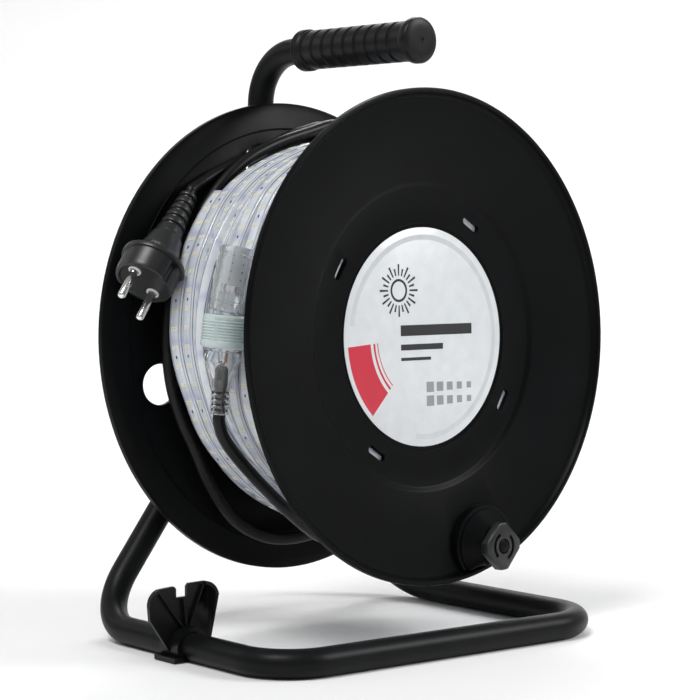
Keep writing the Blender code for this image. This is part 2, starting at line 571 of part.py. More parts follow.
cut(plug, *notches, *pin_seats)

# The winding knob and the pin that it turns on

head_back = KNOB_FACE_X - KNOB_HEAD_THICK
knob = rod("winding_knob", KNOB_BODY_TOP_X + RUNNING, head_back + 0.0020, KNOB_NECK_R, 28,
           ON_AXLE @ knob_at, DRUM_PLASTIC, parts)
head_outline = []
for n in range(4):
    corner = math.radians(45 + 90 * n + 47)
    lean = math.acos(KNOB_HEAD_FLAT / KNOB_HEAD_CORNER)
    for side in (-1, 1):
        angle = corner + side * (math.pi / 4 - lean)
        head_outline.append((KNOB_HEAD_CORNER * math.cos(angle), KNOB_HEAD_CORNER * math.sin(angle)))
joined(knob, prism("knob_head", head_outline, head_back, KNOB_FACE_X, None, ON_AXLE @ knob_at, cutters))
cut(knob, rod("knob_pin_way", DISH_X - 0.02, KNOB_FACE_X + 0.02, KNOB_PIN_R + RUNNING, 24, ON_AXLE @ knob_at))
turned("knob_pin", [(DISH_X - 0.0005, 0.0), (DISH_X - 0.0005, KNOB_PIN_R), (KNOB_FACE_X - 0.0004, KNOB_PIN_R),
                    (KNOB_FACE_X + 0.0002, KNOB_PIN_R - 0.0006), (KNOB_FACE_X + 0.0002, 0.0)],
       20, DRUM_PLASTIC, ON_AXLE @ knob_at)

# The fan-shaped clip on the left foot run

left_run = Vector((*FOOT_FRONT_LEFT, 0)) - Vector((*FOOT_REAR_LEFT, 0))
run_share = (CLIP_X - FOOT_REAR_LEFT[0]) / left_run.x
clip_at = Vector((*FOOT_REAR_LEFT, FOOT_Z)) + left_run * run_share
on_run = along_line(clip_at, clip_at + left_run, (0, 1, 0))
hug = TUBE_R + CLEAR
fan_outline = (
    [(-0.0085, -0.0060), (-0.0235, 0.0160)] + arc((-0.0150, 0.0240), 0.0092, 185, 108, 6)
    + [(-0.0075, 0.0335), (-0.0062, 0.0322), (-0.0062, 0.0272), (0.0012, 0.0272), (0.0012, 0.0330), (0.0025, 0.0345)]
    + arc((0.0128, 0.0250), 0.0098, 88, 0, 6) + [(0.0165, -0.0020), (0.0090, -0.0060)]
)
half_plate = CLIP_PLATE_THICK / 2
clip = prism("foot_clip", fan_outline, -half_plate, half_plate, CLIP_PLASTIC, on_run)
clamp = rod("clip_clamp", -CLIP_CLAMP_LENGTH / 2, CLIP_CLAMP_LENGTH / 2, CLIP_CLAMP_R, 28, on_run)
lip = prism("clip_lip", [(-0.0135, -0.0092), (-0.0135, -0.0050), (-0.0040, -0.0050), (-0.0040, -0.0092)],
            -CLIP_CLAMP_LENGTH / 2 - 0.0010, CLIP_CLAMP_LENGTH / 2 + 0.0010, None, on_run, cutters)
ribs = []
for n, (y, z) in enumerate(((-0.0180, 0.0300), (-0.0026, 0.0266), (0.0110, 0.0335))):
    root, tip = Vector((0.0, 0.0, 0.0070)), Vector((0.0, y, z))
    way = (tip - root).normalized()
    across = Vector((0, -way.z, way.y)) * 0.0006
    outline = [(p.y, p.z) for p in (root - across, root + across, tip + across, tip - across)]
    ribs.append(prism(f"clip_rib_{n}", outline, 0.0, half_plate + 0.0022, None, on_run, cutters))
tube_way = rod("clip_tube_way", -0.03, 0.03, hug, 24, on_run)
mouth = prism("clip_mouth", [(-0.0030, -0.02), (0.0300, -0.02), (0.0300, -0.0015),
                              (0.0065, -0.0045), (0.0, -0.0060)],
              -0.03, 0.03, None, on_run, cutters)
floor_cut = prism("clip_floor", [(-0.05, -0.05), (0.05, -0.05), (0.05, CLEAR - TUBE_R), (-0.05, CLEAR - TUBE_R)],
                  -0.05, 0.05, None, on_run, cutters)
joined(clip, clamp, lip, *ribs)
cut(clip, tube_way, mouth, floor_cut)

# What turns follows an empty on its own axis, and the whole follows one more

def axis_empty(name, placed):
    made = bpy.data.objects.new(name, None)
    parts.objects.link(made)
    made.matrix_world = placed
    made.empty_display_size = 0.03
    return made


whole = axis_empty("whole", Matrix.Identity(4))
drum_axis = axis_empty("drum_axis", ON_AXLE)
knob_axis = axis_empty("knob_axis", ON_AXLE @ knob_at)
bpy.context.view_layer.update()
stays = ("stand_tube", "carry_grip", "foot_clip", "axle_washer", "axle_nut")
clip_cutters = ("clip_", "grip_", "nut_", "hub_plate")


def follow(piece, owner):
    piece.parent = owner
    piece.matrix_parent_inverse = owner.matrix_world.inverted()


for piece in list(parts.objects) + list(cutters.objects):
    if piece is whole:
        continue
    if piece in (drum_axis,) or piece.name in stays or piece.name.startswith(clip_cutters):
        follow(piece, whole)
    elif piece.name.startswith(("winding_knob", "knob_head", "knob_pin_way")):
        follow(piece, knob_axis)
    else:
        follow(piece, drum_axis)

# It stands on the floor with the middle of its bounding box over the origin

bpy.context.view_layer.update()
graph = bpy.context.evaluated_depsgraph_get()
low, high = Vector((1e9,) * 3), Vector((-1e9,) * 3)
for piece in parts.objects:
    if piece.type == "EMPTY":
        continue
    solid = piece.evaluated_get(graph)
    for corner in solid.to_mesh().vertices:
        at = solid.matrix_world @ corner.co
        for n in range(3):
            low[n], high[n] = min(low[n], at[n]), max(high[n], at[n])
    solid.to_mesh_clear()
whole.location = (-(low.x + high.x) / 2, -(low.y + high.y) / 2, -low.z)
bpy.context.view_layer.update()
print("shift", [round(v, 6) for v in whole.location])
print("size", [round(v, 5) for v in high - low])
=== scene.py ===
from math import acos, asin, atan2, cos, degrees, hypot, pi, radians, sin, tan
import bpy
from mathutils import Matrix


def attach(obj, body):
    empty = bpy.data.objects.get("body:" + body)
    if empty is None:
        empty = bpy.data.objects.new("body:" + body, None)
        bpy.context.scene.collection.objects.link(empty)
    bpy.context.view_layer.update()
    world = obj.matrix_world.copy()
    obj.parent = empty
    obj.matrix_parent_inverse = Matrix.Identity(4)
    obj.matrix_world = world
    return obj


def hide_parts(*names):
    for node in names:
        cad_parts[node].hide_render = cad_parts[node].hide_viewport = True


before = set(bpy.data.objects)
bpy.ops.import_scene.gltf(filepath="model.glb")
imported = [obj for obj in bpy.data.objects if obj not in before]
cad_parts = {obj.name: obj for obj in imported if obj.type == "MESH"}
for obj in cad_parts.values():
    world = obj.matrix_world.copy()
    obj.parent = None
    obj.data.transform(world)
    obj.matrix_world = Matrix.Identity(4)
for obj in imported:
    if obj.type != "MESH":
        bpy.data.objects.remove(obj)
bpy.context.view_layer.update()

from types import SimpleNamespace

import bmesh
import bpy
from mathutils import Matrix, Vector

scene = bpy.context.scene


def moved(x, y, z):
    return Matrix.Translation((x, y, z))


def aboutX(turnDegrees):
    return Matrix.Rotation(radians(turnDegrees), 4, "X")



# how the drum sits in the stand, the same numbers as in the part's source
placing = {
    "axleHeight": 0.1766,
    "axleTiltDegrees": 1.5,
    "shift": (-0.003326, 0.006633, -0.000026),
}
standing = moved(*placing["shift"])
onAxle = (standing @ moved(0, 0, placing["axleHeight"])
          @ Matrix.Rotation(-radians(placing["axleTiltDegrees"]), 4, "Y"))

# the camera comes first
cameraSettings = {
    "place": (0.960649, -0.897798, 0.234461),
    "turnDegrees": 42.95,   # how far it has walked round from the drum's front
    "lookDownDegrees": 2.86,
    "lens": 114.49,
    "sensor": 36.0,
    "nearest": 0.05,
}


def placeObject(name, data):
    made = bpy.data.objects.new(name, data)
    scene.collection.objects.link(made)
    return made


def makeCamera(sizes):
    s = SimpleNamespace(**sizes)
    lensData = bpy.data.cameras.new("productCamera")
    lensData.lens, lensData.sensor_width, lensData.clip_start = s.lens, s.sensor, s.nearest
    turn, down = radians(s.turnDegrees), radians(s.lookDownDegrees)
    ahead = Vector((-cos(turn) * cos(down), sin(turn) * cos(down), -sin(down)))
    right = Vector((sin(turn), cos(turn), 0))
    facing = Matrix((right, right.cross(ahead), -ahead)).transposed().to_4x4()
    scene.camera = placeObject("productCamera", lensData)
    scene.camera.matrix_world = Matrix.Translation(s.place) @ facing


makeCamera(cameraSettings)
print("camera placed")


# Node trees, for the finishes and for what is grown on the pieces
def addNode(tree, kind, links=None, values=None, **settings):
    node = tree.nodes.new(kind)
    for key, value in settings.items():
        setattr(node, key, value)
    for key, value in (values or {}).items():
        node.inputs[key].default_value = value
    for key, source in (links or {}).items():
        tree.links.new(source, node.inputs[key])
    return node


def startFinish(name, values):
    finish = bpy.data.materials.new(name)
    finish.use_nodes = True
    shader = finish.node_tree.nodes["Principled BSDF"]
    for key, value in values.items():
        shader.inputs[key].default_value = value
    return finish, finish.node_tree, shader


def objectNoise(tree, scale, detail=3.0, stretch=None):
    source = addNode(tree, "ShaderNodeTexCoord").outputs["Object"]
    if stretch:
        source = addNode(tree, "ShaderNodeMapping", {"Vector": source}, {"Scale": stretch}).outputs["Vector"]
    return addNode(tree, "ShaderNodeTexNoise", {"Vector": source}, {"Scale": scale, "Detail": detail}).outputs["Fac"]


def ramp(tree, value, stops):
    made = addNode(tree, "ShaderNodeValToRGB", {"Fac": value})
    ends = made.color_ramp.elements
    for end, (place, colour) in ((ends[0], stops[0]), (ends[1], stops[-1])):
        end.position, end.color = place, (*colour, 1)
    for place, colour in stops[1:-1]:
        ends.new(place).color = (*colour, 1)
    return made.outputs["Color"]


# two tones of one colour, in soft clouds
def addClouds(tree, shader, scale, detail, dark, light, spread=0.2):
    colour = ramp(tree, objectNoise(tree, scale, detail), [(0.5 - spread, dark), (0.5 + spread, light)])
    tree.links.new(colour, shader.inputs["Base Color"])


def addRoughness(tree, shader, value, low, high):
    mapped = addNode(tree, "ShaderNodeMapRange", {"Value": value}, {"To Min": low, "To Max": high})
    tree.links.new(mapped.outputs["Result"], shader.inputs["Roughness"])


def addBump(tree, shader, value, strength, depth, after=None):
    links = {"Height": value, "Normal": after} if after else {"Height": value}
    bump = addNode(tree, "ShaderNodeBump", links, {"Strength": strength, "Distance": depth}).outputs["Normal"]
    tree.links.new(bump, shader.inputs["Normal"])
    return bump


def mouldedPlastic(name, dark, light, rough, gloss, grain=1400.0):
    finish, tree, shader = startFinish(name, {"Specular IOR Level": gloss})
    addClouds(tree, shader, 22.0, 4.0, dark, light)
    addRoughness(tree, shader, objectNoise(tree, 60.0, 5.0), rough - 0.05, rough + 0.06)
    addBump(tree, shader, objectNoise(tree, grain, 2.0), 0.35, 0.00006)
    return finish


def powderCoat(name, dark, light, rough, gloss):
    finish, tree, shader = startFinish(name, {"Roughness": rough, "Specular IOR Level": gloss})
    addClouds(tree, shader, 35.0, 4.0, dark, light)
    fine = addBump(tree, shader, objectNoise(tree, 900.0, 2.0), 0.45, 0.00012)
    addBump(tree, shader, objectNoise(tree, 260.0, 2.0), 0.3, 0.0002, fine)
    return finish


def brightMetal(name, colour, rough, scratch):
    finish, tree, shader = startFinish(name, {"Base Color": (*colour, 1), "Metallic": 1.0})
    streak = objectNoise(tree, 900.0, 4.0, (1.0, 6.0, 6.0))
    addRoughness(tree, shader, streak, rough, rough + scratch)
    addBump(tree, shader, streak, 0.1, 0.00002)
    return finish


def clearPvc(name, tint, clear, rough, coat=0.3):
    finish, tree, shader = startFinish(name, {
        "Transmission Weight": clear, "Roughness": rough, "IOR": 1.45, "Coat Weight": coat, "Coat Roughness": 0.08})
    addClouds(tree, shader, 160.0, 3.0, tint, tuple(min(1.0, c * 1.08) for c in tint), 0.15)
    addBump(tree, shader, objectNoise(tree, 420.0, 3.0), 0.25, 0.0002)
    return finish


def plainFinish(name, colour, rough, coat=0.0, grain=0.0):
    finish, tree, shader = startFinish(name, {"Roughness": rough, "Coat Weight": coat})
    addClouds(tree, shader, 120.0, 3.0, tuple(c * 0.92 for c in colour), colour)
    if grain:
        addBump(tree, shader, objectNoise(tree, grain, 2.0), 0.2, 0.00005)
    return finish


# across the strip: the white tape in the middle, a wire line near each side, clear edges painted pale, partly as a
# painted highlight on the rounded sides, and dark seams, partly painted shade of the gaps between turns
stripColours = {
    "half": ((0.0, (0.76, 0.79, 0.82)), (0.022, (0.76, 0.79, 0.82)), (0.035, (0.06, 0.07, 0.09)),
             (0.050, (0.20, 0.22, 0.25)), (0.068, (0.62, 0.66, 0.70)), (0.12, (0.76, 0.79, 0.82)),
             (0.150, (0.13, 0.15, 0.18)), (0.175, (0.62, 0.66, 0.70)), (0.205, (0.34, 0.37, 0.42)),
             (0.235, (0.74, 0.77, 0.83)), (0.5, (0.74, 0.77, 0.83))),
    "shadow": (0.44, 0.45, 0.66, 1), "shadowEvery": 0.0158, "shadowLong": 0.0040, "shadowDepth": 0.55,
    "dull": (0.80, 0.82, 0.86), "clean": (1.0, 1.0, 1.0),
}


def stripPvc(name, sizes):
    s = SimpleNamespace(**sizes)
    finish, tree, shader = startFinish(name, {
        "Roughness": 0.22, "Coat Weight": 0.6, "Coat Roughness": 0.06, "Subsurface Weight": 0.15,
        "Subsurface Radius": (0.004, 0.004, 0.004), "Subsurface Scale": 0.5})
    along, across = (addNode(tree, "ShaderNodeAttribute", attribute_name=kind).outputs["Fac"]
                     for kind in ("along", "across"))
    # the colour across the strip, with its painted highlight at the edges and painted shade at the seams
    face = ramp(tree, across, s.half + tuple((1.0 - at, colour) for at, colour in s.half[-2::-1]))
    cells = addNode(tree, "ShaderNodeMath", {0: along}, {1: s.shadowEvery}, operation="PINGPONG")
    tint = addNode(tree, "ShaderNodeMapRange", {"Value": cells.outputs[0]}, {
        "From Min": 0.0, "From Max": s.shadowLong, "To Min": s.shadowDepth, "To Max": 0.0})
    mixed = addNode(tree, "ShaderNodeMix", {"Factor": tint.outputs["Result"], "A": face}, {"B": s.shadow},
                    data_type="RGBA")
    cloud = ramp(tree, objectNoise(tree, 90.0, 4.0), [(0.3, s.dull), (0.7, s.clean)])
    shade = addNode(tree, "ShaderNodeMix", {"A": mixed.outputs["Result"], "B": cloud}, {"Factor": 1.0},
                    data_type="RGBA", blend_type="MULTIPLY")
    tree.links.new(shade.outputs["Result"], shader.inputs["Base Color"])
    addBump(tree, shader, objectNoise(tree, 240.0, 3.0), 0.25, 0.0003)
    return finish


tubeCoat = powderCoat("tubeCoat", (0.0036, 0.0040, 0.0045), (0.0064, 0.0069, 0.0075), 0.40, 0.14)
drumPlastic, litKnobPlastic, gripPlastic, clipPlastic, litPlugRubber, leadRubber, inkRubber = (
    mouldedPlastic(*given) for given in (
        ("drumPlastic", (0.0017, 0.0020, 0.0023), (0.0028, 0.0032, 0.0037), 0.38, 0.08),
        # the knob's finish is the drum's plastic painted lighter, a painted light for the light that falls on the knob
        ("litKnobPlastic", (0.0105, 0.0110, 0.0115), (0.0160, 0.0167, 0.0174), 0.34, 0.38),
        ("gripPlastic", (0.0036, 0.0038, 0.0040), (0.0062, 0.0065, 0.0068), 0.40, 0.24),
        ("clipPlastic", (0.0024, 0.0026, 0.0028), (0.0042, 0.0045, 0.0048), 0.34, 0.24),
        # the plug's rubber is painted lighter, a painted light that makes up for the drum's shadow over the plug
        ("litPlugRubber", (0.0130, 0.0135, 0.0140), (0.0200, 0.0206, 0.0214), 0.34, 0.45, 1800.0),
        ("leadRubber", (0.0024, 0.0026, 0.0028), (0.0046, 0.0048, 0.0050), 0.40, 0.25, 1600.0),
        ("inkRubber", (0.0010, 0.0016, 0.0034), (0.0024, 0.0034, 0.0062), 0.45, 0.08, 1600.0)))
nickelPlate = brightMetal("nickelPlate", (0.86, 0.85, 0.82), 0.14, 0.10)
zincPlate = brightMetal("zincPlate", (0.60, 0.60, 0.60), 0.28, 0.15)
stripFinish = stripPvc("stripFinish", stripColours)
clearBody = clearPvc("clearBody", (0.92, 0.96, 0.99), 0.84, 0.05)
clearTail = clearPvc("clearTail", (0.94, 0.96, 0.98), 0.95, 0.03, 0.0)
milkyNut = clearPvc("milkyNut", (0.74, 0.85, 0.84), 0.34, 0.22, 0.3)
ledBody = plainFinish("ledBody", (0.86, 0.86, 0.84), 0.35)
ledPhosphor = plainFinish("ledPhosphor", (0.80, 0.72, 0.36), 0.30, 0.4)
chipBlack = plainFinish("chipBlack", (0.012, 0.012, 0.014), 0.4)
innerWhite = plainFinish("innerWhite", (0.80, 0.83, 0.86), 0.45)
copperCore = plainFinish("copperCore", (0.55, 0.30, 0.16), 0.4)
labelWhite, labelGrey, labelPale, labelRed = (plainFinish(name, colour, 0.32, 0.25, 500.0) for name, colour in (
    ("labelWhite", (0.72, 0.75, 0.77)), ("labelGrey", (0.30, 0.31, 0.33)),
    ("labelPale", (0.60, 0.63, 0.655)), ("labelRed", (0.60, 0.022, 0.050))))
labelInk = plainFinish("labelInk", (0.020, 0.020, 0.022), 0.35, 0.2, 500.0)
print("finishes made")


# Shapes: makers that give points and faces, and the ones that make, cut and hand over an object
def shaded(data, sharpDegrees=32.0):
    data.shade_smooth()
    data.set_sharp_from_angle(angle=radians(sharpDegrees))
    return data


def makePiece(name, shape, finish, place=None, sharpDegrees=32.0):
    points, faces = shape
    data = bpy.data.meshes.new(name)
    data.from_pydata([place @ Vector(p) for p in points] if place else points, [], faces)
    data.materials.append(finish)
    turn = bmesh.new()
    turn.from_mesh(data)
    bmesh.ops.recalc_face_normals(turn, faces=turn.faces)
    turn.to_mesh(data)
    turn.free()
    return placeObject(name, shaded(data, sharpDegrees))


# the faces of a skin over rings of as many points each, with both ends closed
def ringFaces(rings, count):
    faces = [[n * count + m, n * count + (m + 1) % count, (n + 1) * count + (m + 1) % count, (n + 1) * count + m]
             for n in range(rings - 1) for m in range(count)]
    return faces + [list(range(count)), list(range((rings - 1) * count, rings * count))]


def turnedShape(profile, sides):
    openEnds = profile[0][1] == 0.0 and profile[-1][1] == 0.0
    points, rings, faces = [], [], []
    for along, radius in profile:
        if radius == 0.0:
            rings.append([len(points)] * sides)
            points.append((along, 0.0, 0.0))
            continue
        rings.append(list(range(len(points), len(points) + sides)))
        for n in range(sides):
            angle = 2 * pi * n / sides
            points.append((along, radius * cos(angle), radius * sin(angle)))
    for first, second in list(zip(rings, rings[1:])) + ([] if openEnds else [(rings[-1], rings[0])]):
        for n in range(sides):
            m = (n + 1) % sides
            corners = [first[n], first[m], second[m], second[n]]
            face = [c for i, c in enumerate(corners) if c != corners[i - 1]]
            if len(face) > 2:
                faces.append(face)
    return points, faces


def bandProfile(low, high, outer, inner=0.0):
    return [(low, inner), (low, outer), (high, outer), (high, inner)]


# a box round a middle, given as an outline for prismShape
def boxOutline(y, z, long, high):
    return [(y + long / 2 * a, z + high / 2 * b) for a, b in ((-1, -1), (1, -1), (1, 1), (-1, 1))]


# profile points given from one corner, in tenths of a millimetre along and out
def steps(along, radius, *moves):
    return [(along + dx / 10000, radius + dr / 10000) for dx, dr in moves]


def softened(profile, radius=0.0004, skip=()):
    out = []
    count = len(profile)
    closed = not (profile[0][1] == 0.0 and profile[-1][1] == 0.0)
    for n, at in enumerate(profile):
        if (not closed and n in (0, count - 1)) or at[1] == 0.0 or n in skip:
            out.append(at)
            continue
        at, before, after = Vector(at), Vector(profile[n - 1]), Vector(profile[(n + 1) % count])
        back, on = before - at, after - at
        if back.length < 1e-7 or on.length < 1e-7 or back.angle(on) > radians(168):
            out.append(tuple(at))
            continue
        reach = min(radius, back.length * 0.42, on.length * 0.42)
        first, last = at + back.normalized() * reach, at + on.normalized() * reach
        out += [tuple(first), tuple(at * 0.5 + (first + last) * 0.25), tuple(last)]
    return out


def alongLine(start, end, spare=None):
    forward = (Vector(end) - Vector(start)).normalized()
    side = Vector(spare) if spare else Vector((0, 0, 1) if abs(forward.z) < 0.9 else (0, 1, 0))
    side = (side - forward * side.dot(forward)).normalized()
    return Matrix.Translation(start) @ Matrix((forward, side, forward.cross(side))).transposed().to_4x4()


def prismShape(outline, low, high):
    return [(x, y, z) for x in (low, high) for y, z in outline], ringFaces(2, len(outline))


def arcPoints(centre, radius, first, last, count):
    angles = [radians(first + (last - first) * n / count) for n in range(count + 1)]
    return [(centre[0] + radius * cos(a), centre[1] + radius * sin(a)) for a in angles]


def arcBand(centre, inner, outer, first, last, count):
    return arcPoints(centre, outer, first, last, count) + arcPoints(centre, inner, last, first, count)


def bentPath(corners, bends, count=18):
    path = [Vector(corners[0])]
    for before, at, after, bend in zip(corners, corners[1:], corners[2:], bends):
        at = Vector(at)
        back, on = (Vector(before) - at).normalized(), (Vector(after) - at).normalized()
        half = back.angle(on) / 2
        centre = at + (back + on).normalized() * bend / sin(half)
        spoke = at + back * bend / tan(half) - centre
        axis = spoke.cross(at + on * bend / tan(half) - centre).normalized()
        sweep = pi - 2 * half
        parts = max(3, round(count * sweep / (pi / 2)))
        path += [centre + Matrix.Rotation(sweep * n / parts, 3, axis) @ spoke for n in range(parts + 1)]
    return path + [Vector(corners[-1])]


def sweptShape(path, radius, sides):
    forward = [(b - a).normalized() for a, b in zip(path, path[1:])]
    side = forward[0].orthogonal().normalized()
    points = []
    for n, at in enumerate(path):
        facing = (forward[max(n - 1, 0)] + forward[min(n, len(forward) - 1)]).normalized()
        side = (side - facing * side.dot(facing)).normalized()
        up = facing.cross(side)
        for m in range(sides):
            angle = 2 * pi * m / sides
            points.append(at + (side * cos(angle) + up * sin(angle)) * radius)
    return points, ringFaces(len(path), sides)


def addShapes(shapes):
    points, faces = [], []
    for more, moreFaces in shapes:
        faces += [[len(points) + c for c in face] for face in moreFaces]
        points += more
    return points, faces


def smoothRoute(points, perSpan):
    out = []
    ends = [points[0]] + points + [points[-1]]
    for p0, p1, p2, p3 in zip(ends, ends[1:], ends[2:], ends[3:]):
        for n in range(perSpan):
            t = n / perSpan
            out.append(0.5 * (2 * p1 + (p2 - p0) * t + (2 * p0 - 5 * p1 + 4 * p2 - p3) * t * t
                              + (3 * p1 - p0 - 3 * p2 + p3) * t * t * t))
    return out + [points[-1]]


def carve(piece, cutters, joins=()):
    for kind, others in (("UNION", joins), ("DIFFERENCE", cutters)):
        for other in others:
            cut = piece.modifiers.new("carve", "BOOLEAN")
            cut.operation, cut.solver, cut.object = kind, "EXACT", other
    bpy.context.view_layer.update()
    plain = bpy.data.meshes.new_from_object(piece.evaluated_get(bpy.context.evaluated_depsgraph_get()))
    piece.modifiers.clear()
    piece.data = plain
    for other in list(cutters) + list(joins):
        bpy.data.objects.remove(other, do_unlink=True)
    shaded(plain)
    return piece


def settle(piece, body, slot, *nodes):
    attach(piece, body)
    if nodes:
        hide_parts(*nodes)
    return piece


def blockTree():
    tree = bpy.data.node_groups.new("placedBlocks", "GeometryNodeTree")
    sockets = (("Geometry", "INPUT", "Geometry"), ("Size", "INPUT", "Vector"), ("Offset", "INPUT", "Vector"),
               ("Finish", "INPUT", "Material"), ("Geometry", "OUTPUT", "Geometry"))
    for label, way, kind in sockets:
        tree.interface.new_socket(label, in_out=way, socket_type="NodeSocket" + kind)
    given, result = tree.nodes.new("NodeGroupInput").outputs, tree.nodes.new("NodeGroupOutput")
    block = addNode(tree, "GeometryNodeMeshCube", {"Size": given["Size"]})
    shifted = addNode(tree, "GeometryNodeTransform", {
        "Geometry": block.outputs["Mesh"], "Translation": given["Offset"]})
    turned = addNode(tree, "GeometryNodeInputNamedAttribute", values={"Name": "turn"}, data_type="FLOAT_VECTOR")
    placed = addNode(tree, "GeometryNodeInstanceOnPoints", {
        "Points": given["Geometry"], "Instance": shifted.outputs["Geometry"], "Rotation": turned.outputs["Attribute"]})
    real = addNode(tree, "GeometryNodeRealizeInstances", {"Geometry": placed.outputs["Instances"]})
    painted = addNode(tree, "GeometryNodeSetMaterial", {"Geometry": real.outputs["Geometry"],
                                                        "Material": given["Finish"]})
    tree.links.new(painted.outputs["Geometry"], result.inputs["Geometry"])
    return tree


# one small block on each of the places
def growBlocks(name, places, size, offset, finish):
    data = bpy.data.meshes.new(name)
    data.from_pydata([m.translation for m in places], [], [])
    turns = data.attributes.new("turn", "FLOAT_VECTOR", "POINT")
    for n, m in enumerate(places):
        turns.data[n].vector = m.to_euler("XYZ")
    holder = placeObject(name + "Source", data)
    grower = holder.modifiers.new("grow", "NODES")
    grower.node_group = placedBlocks
    names = {item.name: item.identifier for item in placedBlocks.interface.items_tree if item.in_out == "INPUT"}
    for label, value in (("Size", size), ("Offset", offset), ("Finish", finish)):
        grower[names[label]] = value
    bpy.context.view_layer.update()
    plain = bpy.data.meshes.new_from_object(holder.evaluated_get(bpy.context.evaluated_depsgraph_get()))
    bpy.data.objects.remove(holder, do_unlink=True)
    plain.name = name
    return placeObject(name, shaded(plain))


placedBlocks = blockTree()
print("node trees made")


# Lead: the mains cable wound round the drum, from the connector to the plug
leadSizes = {
    "radius": 0.0035, "sides": 20, "stepsPerSpan": 7, "gap": 0.0003,
    "tailEnd": (0.0177, -0.1230, -0.0390), "nutLow": (0.0220, -0.1230, -0.0026),
    "plugBack": (-0.0475, -0.0891, 0.0837), "plugFace": (-0.0355, -0.1329, 0.0338),
    # degrees round the drum, radius and x, the same list as in the part's source
    "route": (
        (201.6, 0.1308, 0.0171), (204.2, 0.1305, 0.0172), (207.0, 0.1292, 0.0173), (210.2, 0.1274, 0.0173),
        (213.9, 0.1255, 0.0172), (218.6, 0.1235, 0.0168), (224.5, 0.1213, 0.0155), (231.9, 0.1200, 0.0135),
        (239.4, 0.1190, 0.0088),
        (247, 0.1190, 0.0025), (257, 0.1205, -0.0070), (270, 0.1225, -0.0170), (285, 0.1226, -0.0258),
        (300, 0.1222, -0.0335), (318, 0.1210, -0.0400), (336, 0.1190, -0.0432),
        (355, 0.1180, -0.0445), (375, 0.1190, -0.0450), (395, 0.1230, -0.0452),
        (412, 0.1285, -0.0454), (428, 0.1325, -0.0455), (438, 0.1320, -0.0456),
        (448, 0.1240, -0.0456), (462, 0.1180, -0.0456), (476, 0.1150, -0.0456),
        (491, 0.1112, -0.0457), (507, 0.1078, -0.0459), (524, 0.1074, -0.0460),
        (539, 0.1080, -0.0460), (553, 0.1088, -0.0460), (565, 0.1090, -0.0460),
        (574, 0.1095, -0.0460), (586, 0.1150, -0.0461), (597, 0.1215, -0.0462),
        (606, 0.1245, -0.0464), (616, 0.1248, -0.0468), (627, 0.1225, -0.0478),
        (640, 0.1195, -0.0495), (656, 0.1170, -0.0512), (675, 0.1155, -0.0525),
        (700, 0.1160, -0.0532), (725, 0.1185, -0.0534), (750, 0.1230, -0.0536), (775, 0.1290, -0.0538),
        (796, 0.1310, -0.0539), (807, 0.1251, -0.0538), (814, 0.1199, -0.0536), (820, 0.1163, -0.0533),
        (825.5, 0.1144, -0.0530), (830, 0.1137, -0.0530), (834, 0.1141, -0.0530), (838, 0.1152, -0.0530),
        (843, 0.1168, -0.0530), (848, 0.1186, -0.0524),
    ),
}


def leadPath(sizes):
    s = SimpleNamespace(**sizes)
    tailOut = (Vector(s.tailEnd) - Vector(s.nutLow)).normalized()
    plugOut = (Vector(s.plugFace) - Vector(s.plugBack)).normalized()
    start, end = Vector(s.tailEnd) + tailOut * s.gap, Vector(s.plugBack) - plugOut * s.gap
    route = [start, start + tailOut * 0.0015, start + tailOut * 0.003]
    route += [Vector((x, radius * cos(radians(turn)), radius * sin(radians(turn)))) for turn, radius, x in s.route]
    route += [end - plugOut * 0.006, end - plugOut * 0.003, end]
    return [onAxle @ p for p in smoothRoute(route, s.stepsPerSpan)]


path = leadPath(leadSizes)
lead = makePiece("lead", sweptShape(path, leadSizes["radius"], leadSizes["sides"]), leadRubber)
settle(lead, "drum", "lead_rubber", "plug_lead")


# Plug: a round earthed plug moulded on the lead, with a ribbed strain relief
plugSizes = {
    "back": leadSizes["plugBack"], "face": leadSizes["plugFace"], "pinLine": (-0.113, 0.748, -0.654),
    "bodyLength": 0.0160, "faceR": 0.0175, "collarR": 0.0190, "collarThick": 0.0030,
    "neckR": 0.0105, "neckLength": 0.0200, "reliefR": 0.0078, "reliefTipR": 0.0054, "ribs": 5,
    "pinR": 0.0024, "pinLength": 0.0190, "pinsApart": 0.0190, "seatDeep": 0.004, "clear": 0.0003,
    "firstRib": 0.0020, "ribsShort": 0.0030, "grooveR": 0.0030, "grooveOut": 0.0006, "beyond": 0.01,
    # the earth springs: how far in from the face's edge they begin and end, and half their width
    "springIn": 0.0020, "springOut": 0.0014, "springHalf": 0.0016,
}


